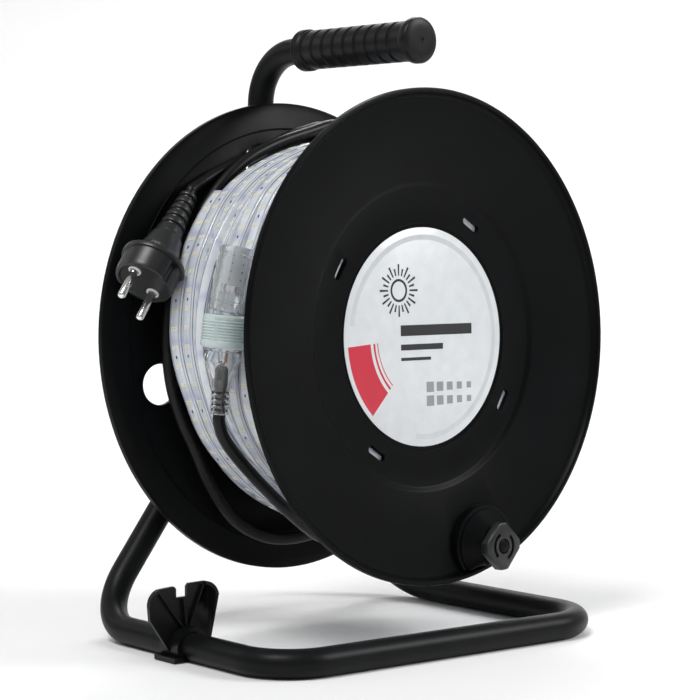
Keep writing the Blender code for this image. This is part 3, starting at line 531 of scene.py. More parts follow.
def makePlug(sizes):
    s = SimpleNamespace(**sizes)
    back, face, pinLine = Vector(s.back), Vector(s.face), Vector(s.pinLine)
    out, length = (face - back).normalized(), (face - back).length
    place = onAxle @ alongLine(back, face, (pinLine - out * pinLine.dot(out)).normalized())
    collar = length - s.bodyLength
    neck, shoulder = collar - s.neckLength, collar + s.collarThick
    profile = [(0.0, 0.0), (0.0, s.reliefTipR)]
    for n in range(s.ribs):
        grown = s.reliefTipR + (s.reliefR - s.reliefTipR) * n / (s.ribs - 1)
        profile += steps(s.firstRib + n * (neck - s.ribsShort) / s.ribs, grown, (0, 0), (4, -14), (19, -14), (24, 2))
    profile += [(neck, s.reliefR + 0.0006), *steps(neck, s.neckR, (20, -10), (70, 0)),
                (collar - 0.0060, s.neckR + 0.0020), *steps(collar, s.collarR, (0, -30), (0, 0)),
                (shoulder, s.collarR), (shoulder, s.faceR),
                *steps(length, s.faceR, (-30, 0), (0, -6), (0, -26), (-12, -32)), (length - 0.0012, 0.0)]
    body = makePiece("plugBody", turnedShape(softened(profile, 0.0005), 56), litPlugRubber, place)
    pinPlaces = [place @ moved(0, sign * s.pinsApart / 2, 0) for sign in (-1, 1)]
    cutters = []
    for sign, pinAt in zip((-1, 1), pinPlaces):
        # the side groove that holds the earth spring, and the pin's seat
        groove = arcPoints((0.0, sign * (s.faceR + s.grooveOut)), s.grooveR, 0, 330, 14)
        cutters.append(makePiece("plugGroove", prismShape(groove, shoulder, length + s.beyond), litPlugRubber, place))
        seat = bandProfile(length - s.seatDeep, length + s.beyond, s.pinR + s.clear)
        cutters.append(makePiece("plugSeat", turnedShape(seat, 28), litPlugRubber, pinAt))
    made = [settle(carve(body, cutters), "drum", "plug_plastic", "plug_body")]
    foot, tip, r = length - s.seatDeep + s.clear, length + s.pinLength, s.pinR
    for n, pinAt in enumerate(pinPlaces):
        # the plated pin: a thin step where it leaves the plastic and a rounded tip
        pin = [(foot, 0.0), (foot, r), (length + 0.0010, r), (length + 0.0013, r - 0.00012),
               (length + 0.0018, r - 0.00012), (length + 0.0021, r), (tip - 0.0020, r), (tip - 0.0012, r * 0.93),
               (tip - 0.0006, r * 0.78), (tip - 0.0002, r * 0.55), (tip, r * 0.30), (tip, 0.0)]
        made.append(settle(makePiece("plugPin" + "AB"[n], turnedShape(pin, 36), nickelPlate, pinAt),
                           "drum", "plated_brass", f"plug_pin_{n + 1}"))
        # the pale collar that each pin stands in
        ring = steps(length, r, (-16, 4), (-16, 14), (-7, 14), (-4, 11), (-4, 4))
        made.append(settle(makePiece("pinCollar" + "AB"[n], turnedShape(ring, 32), ledBody, pinAt),
                           "drum", "plug_plastic"))
    for sign in (-1, 1):
        # the earth spring in each side groove
        inner, outer, half = sign * (s.faceR - s.springIn), sign * (s.faceR - s.springOut), s.springHalf
        spring = prismShape([(inner, -half), (outer, -half), (outer, half), (inner, half)],
                            shoulder + 0.0004, length - 0.0014)
        made.append(settle(makePiece("earthSpring", spring, nickelPlate, place), "drum", "plated_brass"))
    return made


plugPieces = makePlug(plugSizes)
print("plug made")


# Stand: one bent tube, with the round plate and the axle that the drum runs on
standSizes = {
    "tubeR": 0.008, "sides": 40, "x": -0.0890, "armZ": 0.3483, "armEndX": 0.0440, "footZ": 0.008, "hubDrop": 0.0023,
    "rearLeft": (-0.0944, -0.1249), "frontLeft": (0.0855, -0.1379),
    "frontRight": (0.1028, 0.1011), "rearRight": (-0.0944, 0.1154),
    "bends": (0.031, 0.040, 0.037, 0.030, 0.037, 0.037), "rightLegStop": 0.004,
    "plateR": 0.028, "plateThick": 0.004, "plateSunk": 0.0035, "axleR": 0.007, "axleFrontX": -0.0160,
    # the weld's beads: half their profile, how many in a row, and where the rows stand
    "bead": ((-0.0022, 0.0), (-0.0016, 0.0014), (0.0, 0.0021), (0.0016, 0.0014), (0.0022, 0.0)),
    "beads": 15, "beadPitch": 0.003, "beadLow": -0.021, "beadY": 0.0072, "beadSunk": 0.0006,
}


def makeStand(sizes):
    s = SimpleNamespace(**sizes)
    hub = Vector((s.x, 0, placing["axleHeight"] - s.hubDrop))
    feet = [Vector((*at, s.footZ)) for at in (s.rearLeft, s.frontLeft, s.frontRight, s.rearRight)]
    corners = [(s.armEndX, 0, s.armZ), (s.x, 0, s.armZ), hub, *feet,
               hub + (feet[-1] - hub).normalized() * s.rightLegStop]
    tube = sweptShape(bentPath(corners, s.bends), s.tubeR, s.sides)
    back = s.x + s.tubeR - s.plateSunk
    plate = [(back, 0.0), (back, s.plateR), (back + s.plateThick, s.plateR), (back + s.plateThick, s.axleR),
             *steps(s.axleFrontX, s.axleR, (-10, 0), (0, -10)), (s.axleFrontX, 0.0)]
    # the weld runs where the tube lies on the plate
    ball, ballFaces = turnedShape(s.bead, 12)
    beads = []
    for sign in (-1, 1):
        for n in range(s.beads):
            at = Vector((back - s.beadSunk, sign * s.beadY, s.beadLow + n * s.beadPitch))
            beads.append(([at + Vector(p) for p in ball], ballFaces))
    settle(makePiece("standTube", tube, tubeCoat, standing), "stand", "black_coat", "stand_tube")
    settle(makePiece("hubPlate", turnedShape(softened(plate, 0.0006), 72), tubeCoat, onAxle), "stand", "black_coat")
    settle(makePiece("hubWeld", addShapes(beads), tubeCoat, onAxle, 60), "stand", "black_coat")


makeStand(standSizes)
print("stand made")


# Grip: a soft ribbed tube pushed onto the arm
gripSizes = {
    "rearX": -0.0480, "frontX": 0.0530, "r": 0.0118, "grooveR": 0.0106, "collarR": 0.0126, "endR": 0.0134,
    "grooves": 9, "pitch": 0.00935, "firstGrooveX": -0.0386, "bore": 0.0083, "boreEndX": 0.0443,
}


def makeGrip(sizes):
    s = SimpleNamespace(**sizes)
    profile = [(s.boreEndX, 0.0), (s.boreEndX, s.bore), (s.rearX, s.bore)]
    profile += steps(s.rearX, s.collarR, (0, -8), (8, 0), (20, 0), (23, -4), (27, -4), (30, 0), (42, 0), (45, -4),
                     (48, -4), (51, 0), (56, 0)) + [(s.rearX + 0.0066, s.r)]
    for n in range(s.grooves):
        middle = s.firstGrooveX + n * s.pitch
        profile += [(middle - 0.0017, s.r), *steps(middle, s.grooveR, (-9, 2), (0, 0), (9, 2)), (middle + 0.0017, s.r)]
    profile += steps(s.frontX, s.r, (-88, 0), (-78, 1))
    profile += steps(s.frontX, s.endR, (-62, -4), (-50, 0), (-22, 0), (-12, -6), (-5, -20), (-1, -45), (0, -70))
    profile += steps(s.frontX, 0.0, (0, 16), (-7, 12), (-7, 0))
    onArm = standing @ moved(0, 0, standSizes["armZ"])
    settle(makePiece("carryGrip", turnedShape(profile, 64), gripPlastic, onArm), "stand", "grip_plastic", "carry_grip")


makeGrip(gripSizes)
print("grip made")


# Drum: the two flanges, the barrel and the tube that runs on the axle
drumSizes = {
    "r": 0.1425, "halfW": 0.0665, "rimBand": 0.0042, "thick": 0.003,
    "coneOuterR": 0.1375, "coneOuterX": 0.0626, "coneInnerR": 0.0880, "coneInnerX": 0.0578,
    "dishX": 0.0556, "dishR": 0.0862, "barrelR": 0.0725, "barrelWall": 0.0025,
    "hubTubeR": 0.0125, "hubTubeFrontX": -0.0250, "hubBackX": -0.0800, "wellR": 0.0652, "wellDepth": 0.0009,
    "slotRing": 0.0758, "slotLength": 0.0140, "slotWidth": 0.0046, "firstSlot": -31.5,
    "holeRing": 0.1080, "holeR": 0.0121, "firstHole": 13.5, "ringR": 0.1266,
    "clear": 0.0003, "running": 0.0005, "axleR": standSizes["axleR"], "sides": 160, "beyond": 0.02,
}
knobSizes = {
    "y": 0.0380, "z": -0.1228, "padX": 0.0652, "padR": 0.0235, "padReach": 0.1380, "padInset": 0.0005,
    "padBase": 0.0014, "padShare": 0.93, "seatShort": 0.0004,
    "seatR": 0.0210, "seatTopR": 0.0118, "seatTopX": 0.0732, "seatSides": 64,
    "faceX": 0.0800, "headThick": 0.0060, "flat": 0.0115, "corner": 0.0140, "headTurn": 47,
    "neckR": 0.0105, "neckGap": 0.0005, "neckIn": 0.0020, "pinR": 0.0040, "pinClear": 0.0005, "pinIn": 0.0005,
    "cornerShare": 0.997, "cornerHalf": 0.036,
    "fingerSlots": (112, 292), "fingerTurn": 116, "fingerR": (0.0066, 0.0086), "fingerDeep": 0.0016,
}


def rimAndCone(sizes, side):
    s = SimpleNamespace(**sizes)
    inside = s.halfW - s.rimBand
    profile = [*steps(s.dishX, s.dishR, (0, 0), (4, 9)), *steps(s.coneInnerX, s.coneInnerR, (-3, 8), (0, 16)),
               *steps(s.coneOuterX, s.coneOuterR, (-2, -10), (0, 0)),
               *steps(s.halfW, s.r, (-22, -32), (-6, -27), (0, -20), (0, -8), (-2, -2), (-8, 0)),
               *steps(inside, s.r, (4, 0), (0, -4), (-6, -16)), (s.coneOuterX - s.thick, s.coneOuterR - 0.0014),
               (s.coneInnerX - s.thick, s.coneInnerR - 0.0006), (s.dishX - s.thick, s.dishR - 0.0012)]
    return [(side * x, r) for x, r in profile]


# the raised pad under the knob, which runs out to the rim, and the flared seat on it
def padShape(drum, knob, reach):
    s = SimpleNamespace(**knob)
    half = asin(s.padR * s.padShare / s.padReach)
    outline = [(reach + y, z) for y, z in arcPoints((0, 0), s.padR, 90, 270, 36)]
    outline += [(s.padReach * cos(a), s.padReach * sin(a)) for a in [half * (n / 8 - 1) for n in range(17)]]
    count = len(outline)
    centre = Vector((sum(p[0] for p in outline) / count, sum(p[1] for p in outline) / count))
    inner = [Vector(p) + (centre - Vector(p)).normalized() * s.padInset for p in outline]
    levels = ((drum["coneInnerX"] + s.padBase, outline), (s.padX - s.padInset, outline), (s.padX, inner))
    return [(x, *p) for x, ring in levels for p in ring], ringFaces(3, count)


def seatShape(knob, reach):
    s = SimpleNamespace(**knob)
    levels = steps(s.padX, s.seatR, (-10, 0), (6, 0), (14, -8)) + steps(s.seatTopX, s.seatTopR, (-12, 10), (0, 0))
    points = []
    for x, r in levels:
        for n in range(s.seatSides):
            angle = 2 * pi * n / s.seatSides
            stop = (s.padReach - s.seatShort - reach) / max(cos(angle), 1e-6) if cos(angle) > 0 else 1.0
            points.append((x, reach + min(r, stop) * cos(angle), min(r, stop) * sin(angle)))
    return points, ringFaces(len(levels), s.seatSides)


def makeFrontFlange(sizes, knob):
    s = SimpleNamespace(**sizes)
    well, dish = s.dishX - s.wellDepth, s.dishX
    profile = [(well, 0.0), *steps(well, s.wellR, (0, -2), (2, 0)), *steps(dish, s.wellR, (-2, 3), (0, 6)),
               *rimAndCone(sizes, 1), (dish - s.thick, 0.0)]
    flange = makePiece("frontFlange", turnedShape(profile, s.sides), drumPlastic, onAxle)
    reach = hypot(knob["y"], knob["z"])
    outwards = onAxle @ Matrix.Rotation(atan2(knob["z"], knob["y"]), 4, "X")
    joins = [makePiece("knobPad", padShape(sizes, knob, reach), drumPlastic, outwards),
             makePiece("knobSeat", seatShape(knob, reach), drumPlastic, outwards)]
    halfSlot, end = s.slotWidth / 2, (s.slotLength - s.slotWidth) / 2
    slot = arcPoints((s.slotRing, end), halfSlot, 0, 180, 14) + arcPoints((s.slotRing, -end), halfSlot, 180, 360, 14)
    cutters = [makePiece("slot", prismShape(slot, dish - s.beyond, dish + s.beyond), drumPlastic,
                         onAxle @ aboutX(s.firstSlot + 90 * n)) for n in range(4)]
    pinHole = turnedShape(bandProfile(0.04, 0.09, knob["pinR"] + s.clear), 32)
    cutters.append(makePiece("pinHole", pinHole, drumPlastic, onAxle @ moved(0, knob["y"], knob["z"])))
    settle(carve(flange, cutters, joins), "drum", "drum_plastic", "front_flange")


def makeRearFlange(sizes):
    s = SimpleNamespace(**sizes)
    web, inside, hubIn = -s.dishX, s.thick - s.dishX, s.axleR + s.running
    front = s.dishX - s.thick - s.clear
    profile = [(web, s.hubTubeR + 0.0060), *rimAndCone(sizes, -1), *steps(inside, s.barrelR, (0, 8), (8, 0)),
               (front, s.barrelR), (front, s.barrelR - s.barrelWall), (inside, s.barrelR - s.barrelWall),
               (inside, s.hubTubeR), (s.hubTubeFrontX, s.hubTubeR), (s.hubTubeFrontX, hubIn), (s.hubBackX, hubIn),
               (s.hubBackX, s.hubTubeR + 0.0030), (web - 0.004, s.hubTubeR + 0.0060)]
    flange = makePiece("rearFlange", turnedShape(profile, s.sides), drumPlastic, onAxle)
    hole = turnedShape(bandProfile(-0.08, -0.04, s.holeR), 56)
    cutters = [makePiece("hole", hole, drumPlastic, onAxle @ aboutX(s.firstHole + 90 * n) @ moved(0, s.holeRing, 0))
               for n in range(4)]
    settle(carve(flange, cutters), "drum", "drum_plastic", "rear_flange")
    # a thin raised ring on the side that faces the winding
    slope = (s.coneOuterX - s.coneInnerX) / (s.coneOuterR - s.coneInnerR)
    depth = s.coneInnerX - s.thick + slope * (s.ringR - s.coneInnerR)
    ring = steps(-depth, s.ringR, (-4, -6), (6, -3), (6, 3), (-4, 6))
    settle(makePiece("innerRing", turnedShape(ring, s.sides), drumPlastic, onAxle), "drum", "drum_plastic")


makeFrontFlange(drumSizes, knobSizes)
makeRearFlange(drumSizes)
print("drum made")


# Strip: ten turns of flat light strip wound as one run, with earlier layers under them
stripSizes = {
    "halfWide": 0.0060, "halfThick": 0.00325, "corner": 0.0020, "stepDegrees": 3.0, "turns": 10,
    # how the turns lie at six places round the drum, from the rear turn to the front one:
    # degrees, x of each turn, its outer radius and its lean
    "lay": (
        (132, (-0.0325, -0.0245, -0.0130, -0.0028, 0.0064, 0.0158, 0.0254, 0.0345, 0.0430, 0.0488),
         (0.1172, 0.1178, 0.1174, 0.1168, 0.1174, 0.1170, 0.1172, 0.1160, 0.1140, 0.1110),
         (-4, 3, 2, 12, 3, 5, 4, 12, 30, 60)),
        (152, (-0.0308, -0.0212, -0.0125, -0.0046, 0.0048, 0.0150, 0.0252, 0.0345, 0.0430, 0.0488),
         (0.1170, 0.1178, 0.1172, 0.1150, 0.1130, 0.1110, 0.1110, 0.1110, 0.1100, 0.1095),
         (-2, 4, 30, 20, 10, 5, 4, 12, 30, 60)),
        (176, (-0.0286, -0.0180, -0.0104, -0.0045, 0.0040, 0.0140, 0.0250, 0.0345, 0.0430, 0.0488),
         (0.1170, 0.1168, 0.1156, 0.1110, 0.1085, 0.1088, 0.1088, 0.1088, 0.1088, 0.1088),
         (2, 10, 74, 35, 30, 4, 4, 30, 40, 60)),
        (202, (-0.0228, -0.0145, -0.0088, -0.0040, 0.0030, 0.0138, 0.0244, 0.0345, 0.0430, 0.0488),
         (0.1162, 0.1158, 0.1150, 0.1112, 0.1085, 0.1150, 0.1148, 0.1130, 0.1110, 0.1095),
         (4, 10, 66, 40, 35, 4, 4, 20, 40, 60)),
        (238, (-0.0160, -0.0075, -0.0005, 0.0050, 0.0090, 0.0182, 0.0285, 0.0365, 0.0435, 0.0488),
         (0.1142, 0.1134, 0.1122, 0.1105, 0.1090, 0.1142, 0.1140, 0.1125, 0.1105, 0.1095),
         (8, 12, 24, 34, 36, 8, 6, 20, 40, 60)),
        (466, (-0.0240, -0.0165, -0.0075, 0.0010, 0.0090, 0.0175, 0.0265, 0.0350, 0.0430, 0.0488),
         (0.1168, 0.1174, 0.1170, 0.1166, 0.1172, 0.1168, 0.1170, 0.1160, 0.1140, 0.1110),
         (4, 3, 2, 6, 3, 5, 4, 12, 30, 60)),
    ),
    "hiddenR": 0.1120, "hiddenLean": 30.0,
    "ledPitch": 0.0105, "firstLed": 0.004, "dotEvery": 3, "firstDot": 0.0093, "ledsApart": 0.0015,
    "ledSize": (0.0022, 0.0022, 0.0003), "phosphorSize": (0.0014, 0.0016, 0.0004), "chipSize": (0.0016, 0.0009, 0.0004),
    # the layers under the turns: x of the first and last column, radii of the rings, each level's shift
    "under": {"x": (-0.0288, 0.0462), "r": (0.0728, 0.1098), "columns": 7,
              "shifts": (0.0006, -0.0008, 0.0004, -0.0005, 0.0002)},
    # the filled middle: x from and to, outer and inner radius
    "core": (-0.0240, 0.0500, 0.1020, 0.0730),
}


def between(keys, angle):
    for (a, first), (b, second) in zip(keys, keys[1:]):
        if a <= angle <= b:
            t = (angle - a) / (b - a)
            t = t * t * (3 - 2 * t)
            return tuple(p + (q - p) * t for p, q in zip(first, second))
    return keys[-1][1]


# angle, x, outer radius and lean at each step of the run
def stripFrames(sizes):
    s = SimpleNamespace(**sizes)
    frames = []
    first, lowest, crest = s.lay[0], s.lay[-2], s.lay[-1]
    for turn in range(s.turns):
        after = min(turn + 1, s.turns - 1)
        keys = [(angle, (xs[turn], radii[turn], leans[turn])) for angle, xs, radii, leans in s.lay[:-1]]
        # round the back it moves over to the next turn's place
        for angle, share in ((lowest[0] + 70, 0.6), (crest[0] - 60, 0.2)):
            x = share * lowest[1][turn] + (1 - share) * crest[1][after]
            keys.append((angle, (x, s.hiddenR, s.hiddenLean)))
        keys += [(crest[0], tuple(row[after] for row in crest[1:])),
                 (first[0] + 360, tuple(row[after] for row in first[1:]))]
        for n in range(round(360 / s.stepDegrees)):
            angle = first[0] + n * s.stepDegrees
            frames.append((turn * 360 + angle, *between(keys, angle)))
    return frames


# the strip's skin over the frames, with a place for each ring and the widths of its section
def ribbon(frames, sizes):
    corner = sizes["corner"]
    a, b = sizes["halfWide"] - corner, sizes["halfThick"] - corner
    section = []
    for cx, cy, first in ((a, b, 0), (-a, b, 90), (-a, -b, 180), (a, -b, 270)):
        section += arcPoints((cx, cy), corner, first, first + 90, 3)
    centres = []
    for angle, x, outer, lean in frames:
        tilt, theta = radians(lean), radians(angle)
        radial = Vector((0, cos(theta), sin(theta)))
        reach = abs(a * sin(tilt)) + abs(b * cos(tilt)) + corner
        centres.append((Vector((x, 0, 0)) + radial * (outer - reach), radial, tilt))
    places, points, along = [], [], 0.0
    for n, (centre, radial, tilt) in enumerate(centres):
        ahead = (centres[min(n + 1, len(centres) - 1)][0] - centres[max(n - 1, 0)][0]).normalized()
        axial = Vector((1, 0, 0))
        axial = (axial - ahead * axial.dot(ahead)).normalized()
        out = axial.cross(ahead)
        if out.dot(radial) < 0:
            out = -out
        wide = axial * cos(tilt) + out * sin(tilt)
        face = out * cos(tilt) - axial * sin(tilt)
        if n:
            along += (centre - centres[n - 1][0]).length
        places.append((centre, ahead, wide, face, along))
        points += [centre + wide * u + face * v for u, v in section]
    return points, ringFaces(len(places), len(section)), places, [u for u, v in section]


# where each point lies across and along the strip, for its finish
def paintStrip(piece, places, section, half):
    values = {"across": [(u + half) / (2 * half) for place in places for u in section],
              "along": [place[4] for place in places for u in section]}
    for name, numbers in values.items():
        piece.data.attributes.new(name, "FLOAT", "POINT").data.foreach_set("value", numbers)


def alongStrip(places, spacing, start):
    found, at, n = [], start, 0
    while n < len(places) - 1:
        first, second = places[n], places[n + 1]
        if not first[4] <= at < second[4]:
            n += 1
            continue
        centre, ahead, wide, face = (a.lerp(b, (at - first[4]) / (second[4] - first[4]))
                                     for a, b in zip(first[:4], second[:4]))
        ahead = ahead.normalized()
        wide = (wide - ahead * wide.dot(ahead)).normalized()
        face = (face - ahead * face.dot(ahead) - wide * face.dot(wide)).normalized()
        found.append(Matrix.Translation(centre) @ Matrix((ahead, face.cross(ahead), face)).transposed().to_4x4())
        at += spacing
    return found


def makeStrip(sizes):
    s = SimpleNamespace(**sizes)
    points, faces, places, section = ribbon(stripFrames(sizes), sizes)
    piece = makePiece("woundStrip", (points, faces), stripFinish, onAxle, 50)
    paintStrip(piece, places, section, s.halfWide)
    settle(piece, "drum", "strip_pvc", "strip_winding")
    leds, dots = ([onAxle @ m for m in alongStrip(places, s.ledPitch * every, first)]
                  for every, first in ((1, s.firstLed), (s.dotEvery, s.firstDot)))
    for name, spots, size, shifts, finish in (
            ("ledBodies", leds, s.ledSize, (s.ledsApart, -s.ledsApart), ledBody),
            ("ledPhosphors", leds, s.phosphorSize, (s.ledsApart, -s.ledsApart), ledPhosphor),
            ("stripChips", dots, s.chipSize, (0.0,), chipBlack)):
        for n, shift in enumerate(shifts):
            settle(growBlocks(name + str(n), spots, size, (0.0, shift, s.halfThick), finish), "drum", "strip_pvc")


# earlier layers: rings stacked at the rear edge and the front one, the top layer across, and a filled middle
def makeUnderLayers(sizes):
    u = SimpleNamespace(**sizes["under"])
    shapes, allPlaces, last = [], [], len(u.shifts) - 1
    for level, shift in enumerate(u.shifts):
        outer = u.r[0] + (level + 1) * (u.r[1] - u.r[0]) / len(u.shifts)
        for column in range(u.columns):
            if 0 < column < u.columns - 1 and level < last:
                continue
            x = u.x[0] + shift + column * (u.x[1] - u.x[0]) / (u.columns - 1)
            points, faces, places, section = ribbon([(n * 4.0, x, outer, 0.0) for n in range(91)], sizes)
            # the last ring lies on the first one, so the skin closes on itself
            k, rings = len(section), len(places) - 1
            faces = ringFaces(rings, k)[:-2]
            faces += [[(rings - 1) * k + m, (rings - 1) * k + (m + 1) % k, (m + 1) % k, m] for m in range(k)]
            shapes.append((points[:-k], faces))
            allPlaces += places[:-1]
    piece = makePiece("underLayers", addShapes(shapes), stripFinish, onAxle, 50)
    paintStrip(piece, allPlaces, section, sizes["halfWide"])
    settle(piece, "drum", "strip_pvc")
    core = turnedShape(bandProfile(*sizes["core"]), 96)
    settle(makePiece("layerCore", core, innerWhite, onAxle), "drum", "strip_pvc")


makeStrip(stripSizes)
makeUnderLayers(stripSizes)
print("strip wound")


# Knob: a short neck on a pin, with a square head and two curved finger slots in its face
def makeKnob(sizes):
    s = SimpleNamespace(**sizes)
    at = onAxle @ moved(0, s.y, s.z)
    back, face = s.faceX - s.headThick, s.faceX
    lean, cornerR = pi / 4 - acos(s.flat / s.corner), s.corner * s.cornerShare
    turns = [radians(45 + 90 * n + s.headTurn) + sign * lean + step
             for n in range(4) for sign in (-1, 1) for step in (-s.cornerHalf, s.cornerHalf)]
    levels = ((back, 0.94), (back + 0.0007, 1.0), (face - 0.0009, 1.0), (face - 0.0003, 0.975), (face, 0.93))
    points = [(x, cornerR * cos(a) * share, cornerR * sin(a) * share) for x, share in levels for a in turns]
    head = makePiece("windingKnob", (points, ringFaces(len(levels), len(turns))), litKnobPlastic, at)
    neck = turnedShape(bandProfile(s.seatTopX + s.neckGap, back + s.neckIn, s.neckR), 48)
    pinWay = turnedShape(bandProfile(0.05, 0.12, s.pinR + s.pinClear), 48)
    joins = [makePiece("knobNeck", neck, litKnobPlastic, at)]
    cutters = [makePiece("pinWay", pinWay, litKnobPlastic, at)]
    for first in s.fingerSlots:
        outline = arcBand((0, 0), *s.fingerR, first, first + s.fingerTurn, 20)
        cutters.append(makePiece("fingerSlot", prismShape(outline, face - s.fingerDeep, face + 0.01), litKnobPlastic, at))
    settle(carve(head, cutters, joins), "knob", "drum_plastic", "winding_knob")
    foot = drumSizes["dishX"] - s.pinIn
    pin = [(foot, 0.0), (foot, s.pinR), *steps(face, s.pinR, (-6, 0), (-1, -3), (2, -9)),
           *steps(face, 0.0, (2, 12), (0, 9), (0, 0))]
    settle(makePiece("knobPin", turnedShape(pin, 40), drumPlastic, at), "drum", "drum_plastic", "knob_pin")


makeKnob(knobSizes)
print("knob made")


# Washer and nut: what keeps the drum on its axle, inside the barrel
fixingSizes = {"bore": 0.0073, "washerR": 0.0130, "washerBackX": -0.0245, "washerThick": 0.0015,
               "nutR": 0.0115, "nutThick": 0.0045, "gap": 0.0003}


def makeFixings(sizes):
    s = SimpleNamespace(**sizes)
    front = s.washerBackX + s.washerThick
    washer = turnedShape(softened(bandProfile(s.washerBackX, front, s.washerR, s.bore), 0.0002), 48)
    settle(makePiece("washer", washer, zincPlate, onAxle), "stand", "plated_steel", "axle_washer")
    start = front + s.gap
    outline = [(s.nutR * cos(n * pi / 3), s.nutR * sin(n * pi / 3)) for n in range(6)]
    nut = makePiece("nut", prismShape(outline, start, start + s.nutThick), zincPlate, onAxle)
    bore = makePiece("nutBore", turnedShape(bandProfile(start - 0.01, start + 0.02, s.bore), 48), zincPlate, onAxle)
    settle(carve(nut, [bore]), "stand", "plated_steel", "axle_nut")


makeFixings(fixingSizes)
print("fixings made")


# Connector: a clear moulded body, a ribbed milky nut and a clear tail round the mains cable
connectorSizes = {
    "tailEnd": leadSizes["tailEnd"], "nutLow": leadSizes["nutLow"],
    "nutTop": (0.0234, -0.1215, 0.0155), "top": (0.0269, -0.1140, 0.0522),
    "nutR": 0.0128, "bodyR": 0.0105, "tailR": 0.0106, "tipR": 0.0062,
    "reliefR": 0.0052, "relief": 0.0145, "cableR": 0.0034, "gap": 0.0003,
    "jacketIn": 0.0120, "coilTurns": 6, "coilSteps": 14, "coilTurnDegrees": -50,
    "coilR": 0.0011, "coilWireR": 0.0003, "coilOut": 0.0056, "coilStart": 0.0050, "coilLength": 0.0110,
    "nutRings": 7, "nutRibs": 3, "slots": 4, "slotPitch": 0.0032, "slotSize": (0.0009, 0.0036, 0.0004),
    "firstGroove": 0.0016, "firstSlot": 0.0024, "slotTurn": 40, "slotSunk": 0.0010,
    "ribTurn": 24, "ribPitch": 5.0, "ribSunk": 0.0004, "ribShort": 0.0030, "ribSize": (0.0005, 0.0006),
    "dotTurns": (60, 120, 180), "dotShares": (0.50, 0.62, 0.74, 0.86), "dotSize": (0.0009, 0.0007, 0.0003),
    "dotsOut": 0.0060,
}


# the tail, with the cable's end, its two cores and a fine coil inside it
def makeTail(s, onTail, length):
    outer = [(0.0, s.cableR + 0.0002), (0.0, s.reliefR)]
    for n in range(s.slots):
        outer += steps(s.firstGroove + n * s.slotPitch, s.reliefR, (0, 0), (3, -10), (13, -10), (16, 0))
    outer += [(s.relief, s.reliefR), (s.relief + 0.0004, s.tipR), (s.relief + 0.0120, s.tailR - 0.0020),
              *steps(length, s.tailR, (-40, 0), (0, 0))]
    inner = [*steps(length, s.tailR, (0, -22), (-60, -24)), *steps(s.relief, s.cableR, (60, 8), (0, 2))]
    tail = makePiece("connectorTail", turnedShape(softened(outer + inner, 0.0003, skip=(0,)), 48), clearTail, onTail)
    settle(tail, "drum", "clear_pvc", "connector_tail")
    jacket = s.relief + s.jacketIn
    cable = [(0.0004, 0.0), (0.0004, s.cableR), *steps(s.relief, s.cableR, (0, 0), (25, 4)),
             *steps(jacket, s.cableR, (-20, 3), (-6, -4), (0, -16)), (jacket, 0.0)]
    settle(makePiece("cableInTail", turnedShape(cable, 32), inkRubber, onTail), "drum", "lead_rubber")
    for name, sign, finish in (("coreA", -1, ledBody), ("coreB", 1, copperCore)):
        route = [Vector((jacket - 0.0010, sign * 0.0011, 0.0)), Vector((jacket + 0.0020, sign * 0.0018, sign * 0.0008)),
                 Vector((jacket + 0.0046, sign * 0.0030, 0.0)), Vector((length - 0.0004, sign * 0.0034, 0.0))]
        settle(makePiece(name, sweptShape(smoothRoute(route, 6), 0.0009, 12), finish, onTail), "drum", "lead_rubber")
    # it shows as a row of short dark loops beside the jacket
    count = s.coilTurns * s.coilSteps
    turns = [2 * pi * n / s.coilSteps for n in range(count + 1)]
    coil = [Vector((s.relief + s.coilStart + s.coilLength * n / count, s.coilR * cos(a), s.coilR * sin(a) - s.coilOut))
            for n, a in enumerate(turns)]
    settle(makePiece("tailCoil", sweptShape(coil, s.coilWireR, 8), chipBlack, onTail @ aboutX(s.coilTurnDegrees)),
           "drum", "lead_rubber")
    # dark blocks on the relief, in rows a quarter turn apart: painted shade in the windows moulded through it
    slots = [onTail @ aboutX(row * 90 + s.slotTurn) @ moved(s.firstSlot + n * s.slotPitch, 0, s.reliefR - s.slotSunk)
             for n in range(s.slots) for row in range(4)]
    settle(growBlocks("reliefSlotShade", slots, s.slotSize, (0, 0, 0.0001), chipBlack), "drum", "lead_rubber")


# the nut, with fine rings and raised ribs that stand in four groups round it
def makeNut(s, onNut, length):
    nut = [(0.0, s.tailR - 0.0030), *steps(0.0, s.nutR, (0, -10), (6, -3), (12, 0), (34, 0), (40, -5))]
    pitch = (length - 0.0072) / s.nutRings
    for n in range(s.nutRings):
        nut += [(0.0044 + (n + share) * pitch, s.nutR - down)
                for share, down in ((0, 0.0007), (0.25, 0.0001), (0.65, 0.0001), (0.9, 0.0007))]
    nut += [*steps(length, s.nutR, (-24, -4), (-10, -4), (0, -12)), (length, s.bodyR - 0.0024)]
    settle(makePiece("connectorNut", turnedShape(nut, 80), milkyNut, onNut, 24), "drum", "milky_pvc", "connector_nut")
    ribs = [onNut @ aboutX(90 * group + s.ribTurn + s.ribPitch * n) @ moved(length / 2, 0, s.nutR - s.ribSunk)
            for n in range(s.nutRibs) for group in range(4)]
    settle(growBlocks("nutRibs", ribs, (length - s.ribShort, *s.ribSize), (0, 0, 0), milkyNut), "drum", "milky_pvc")


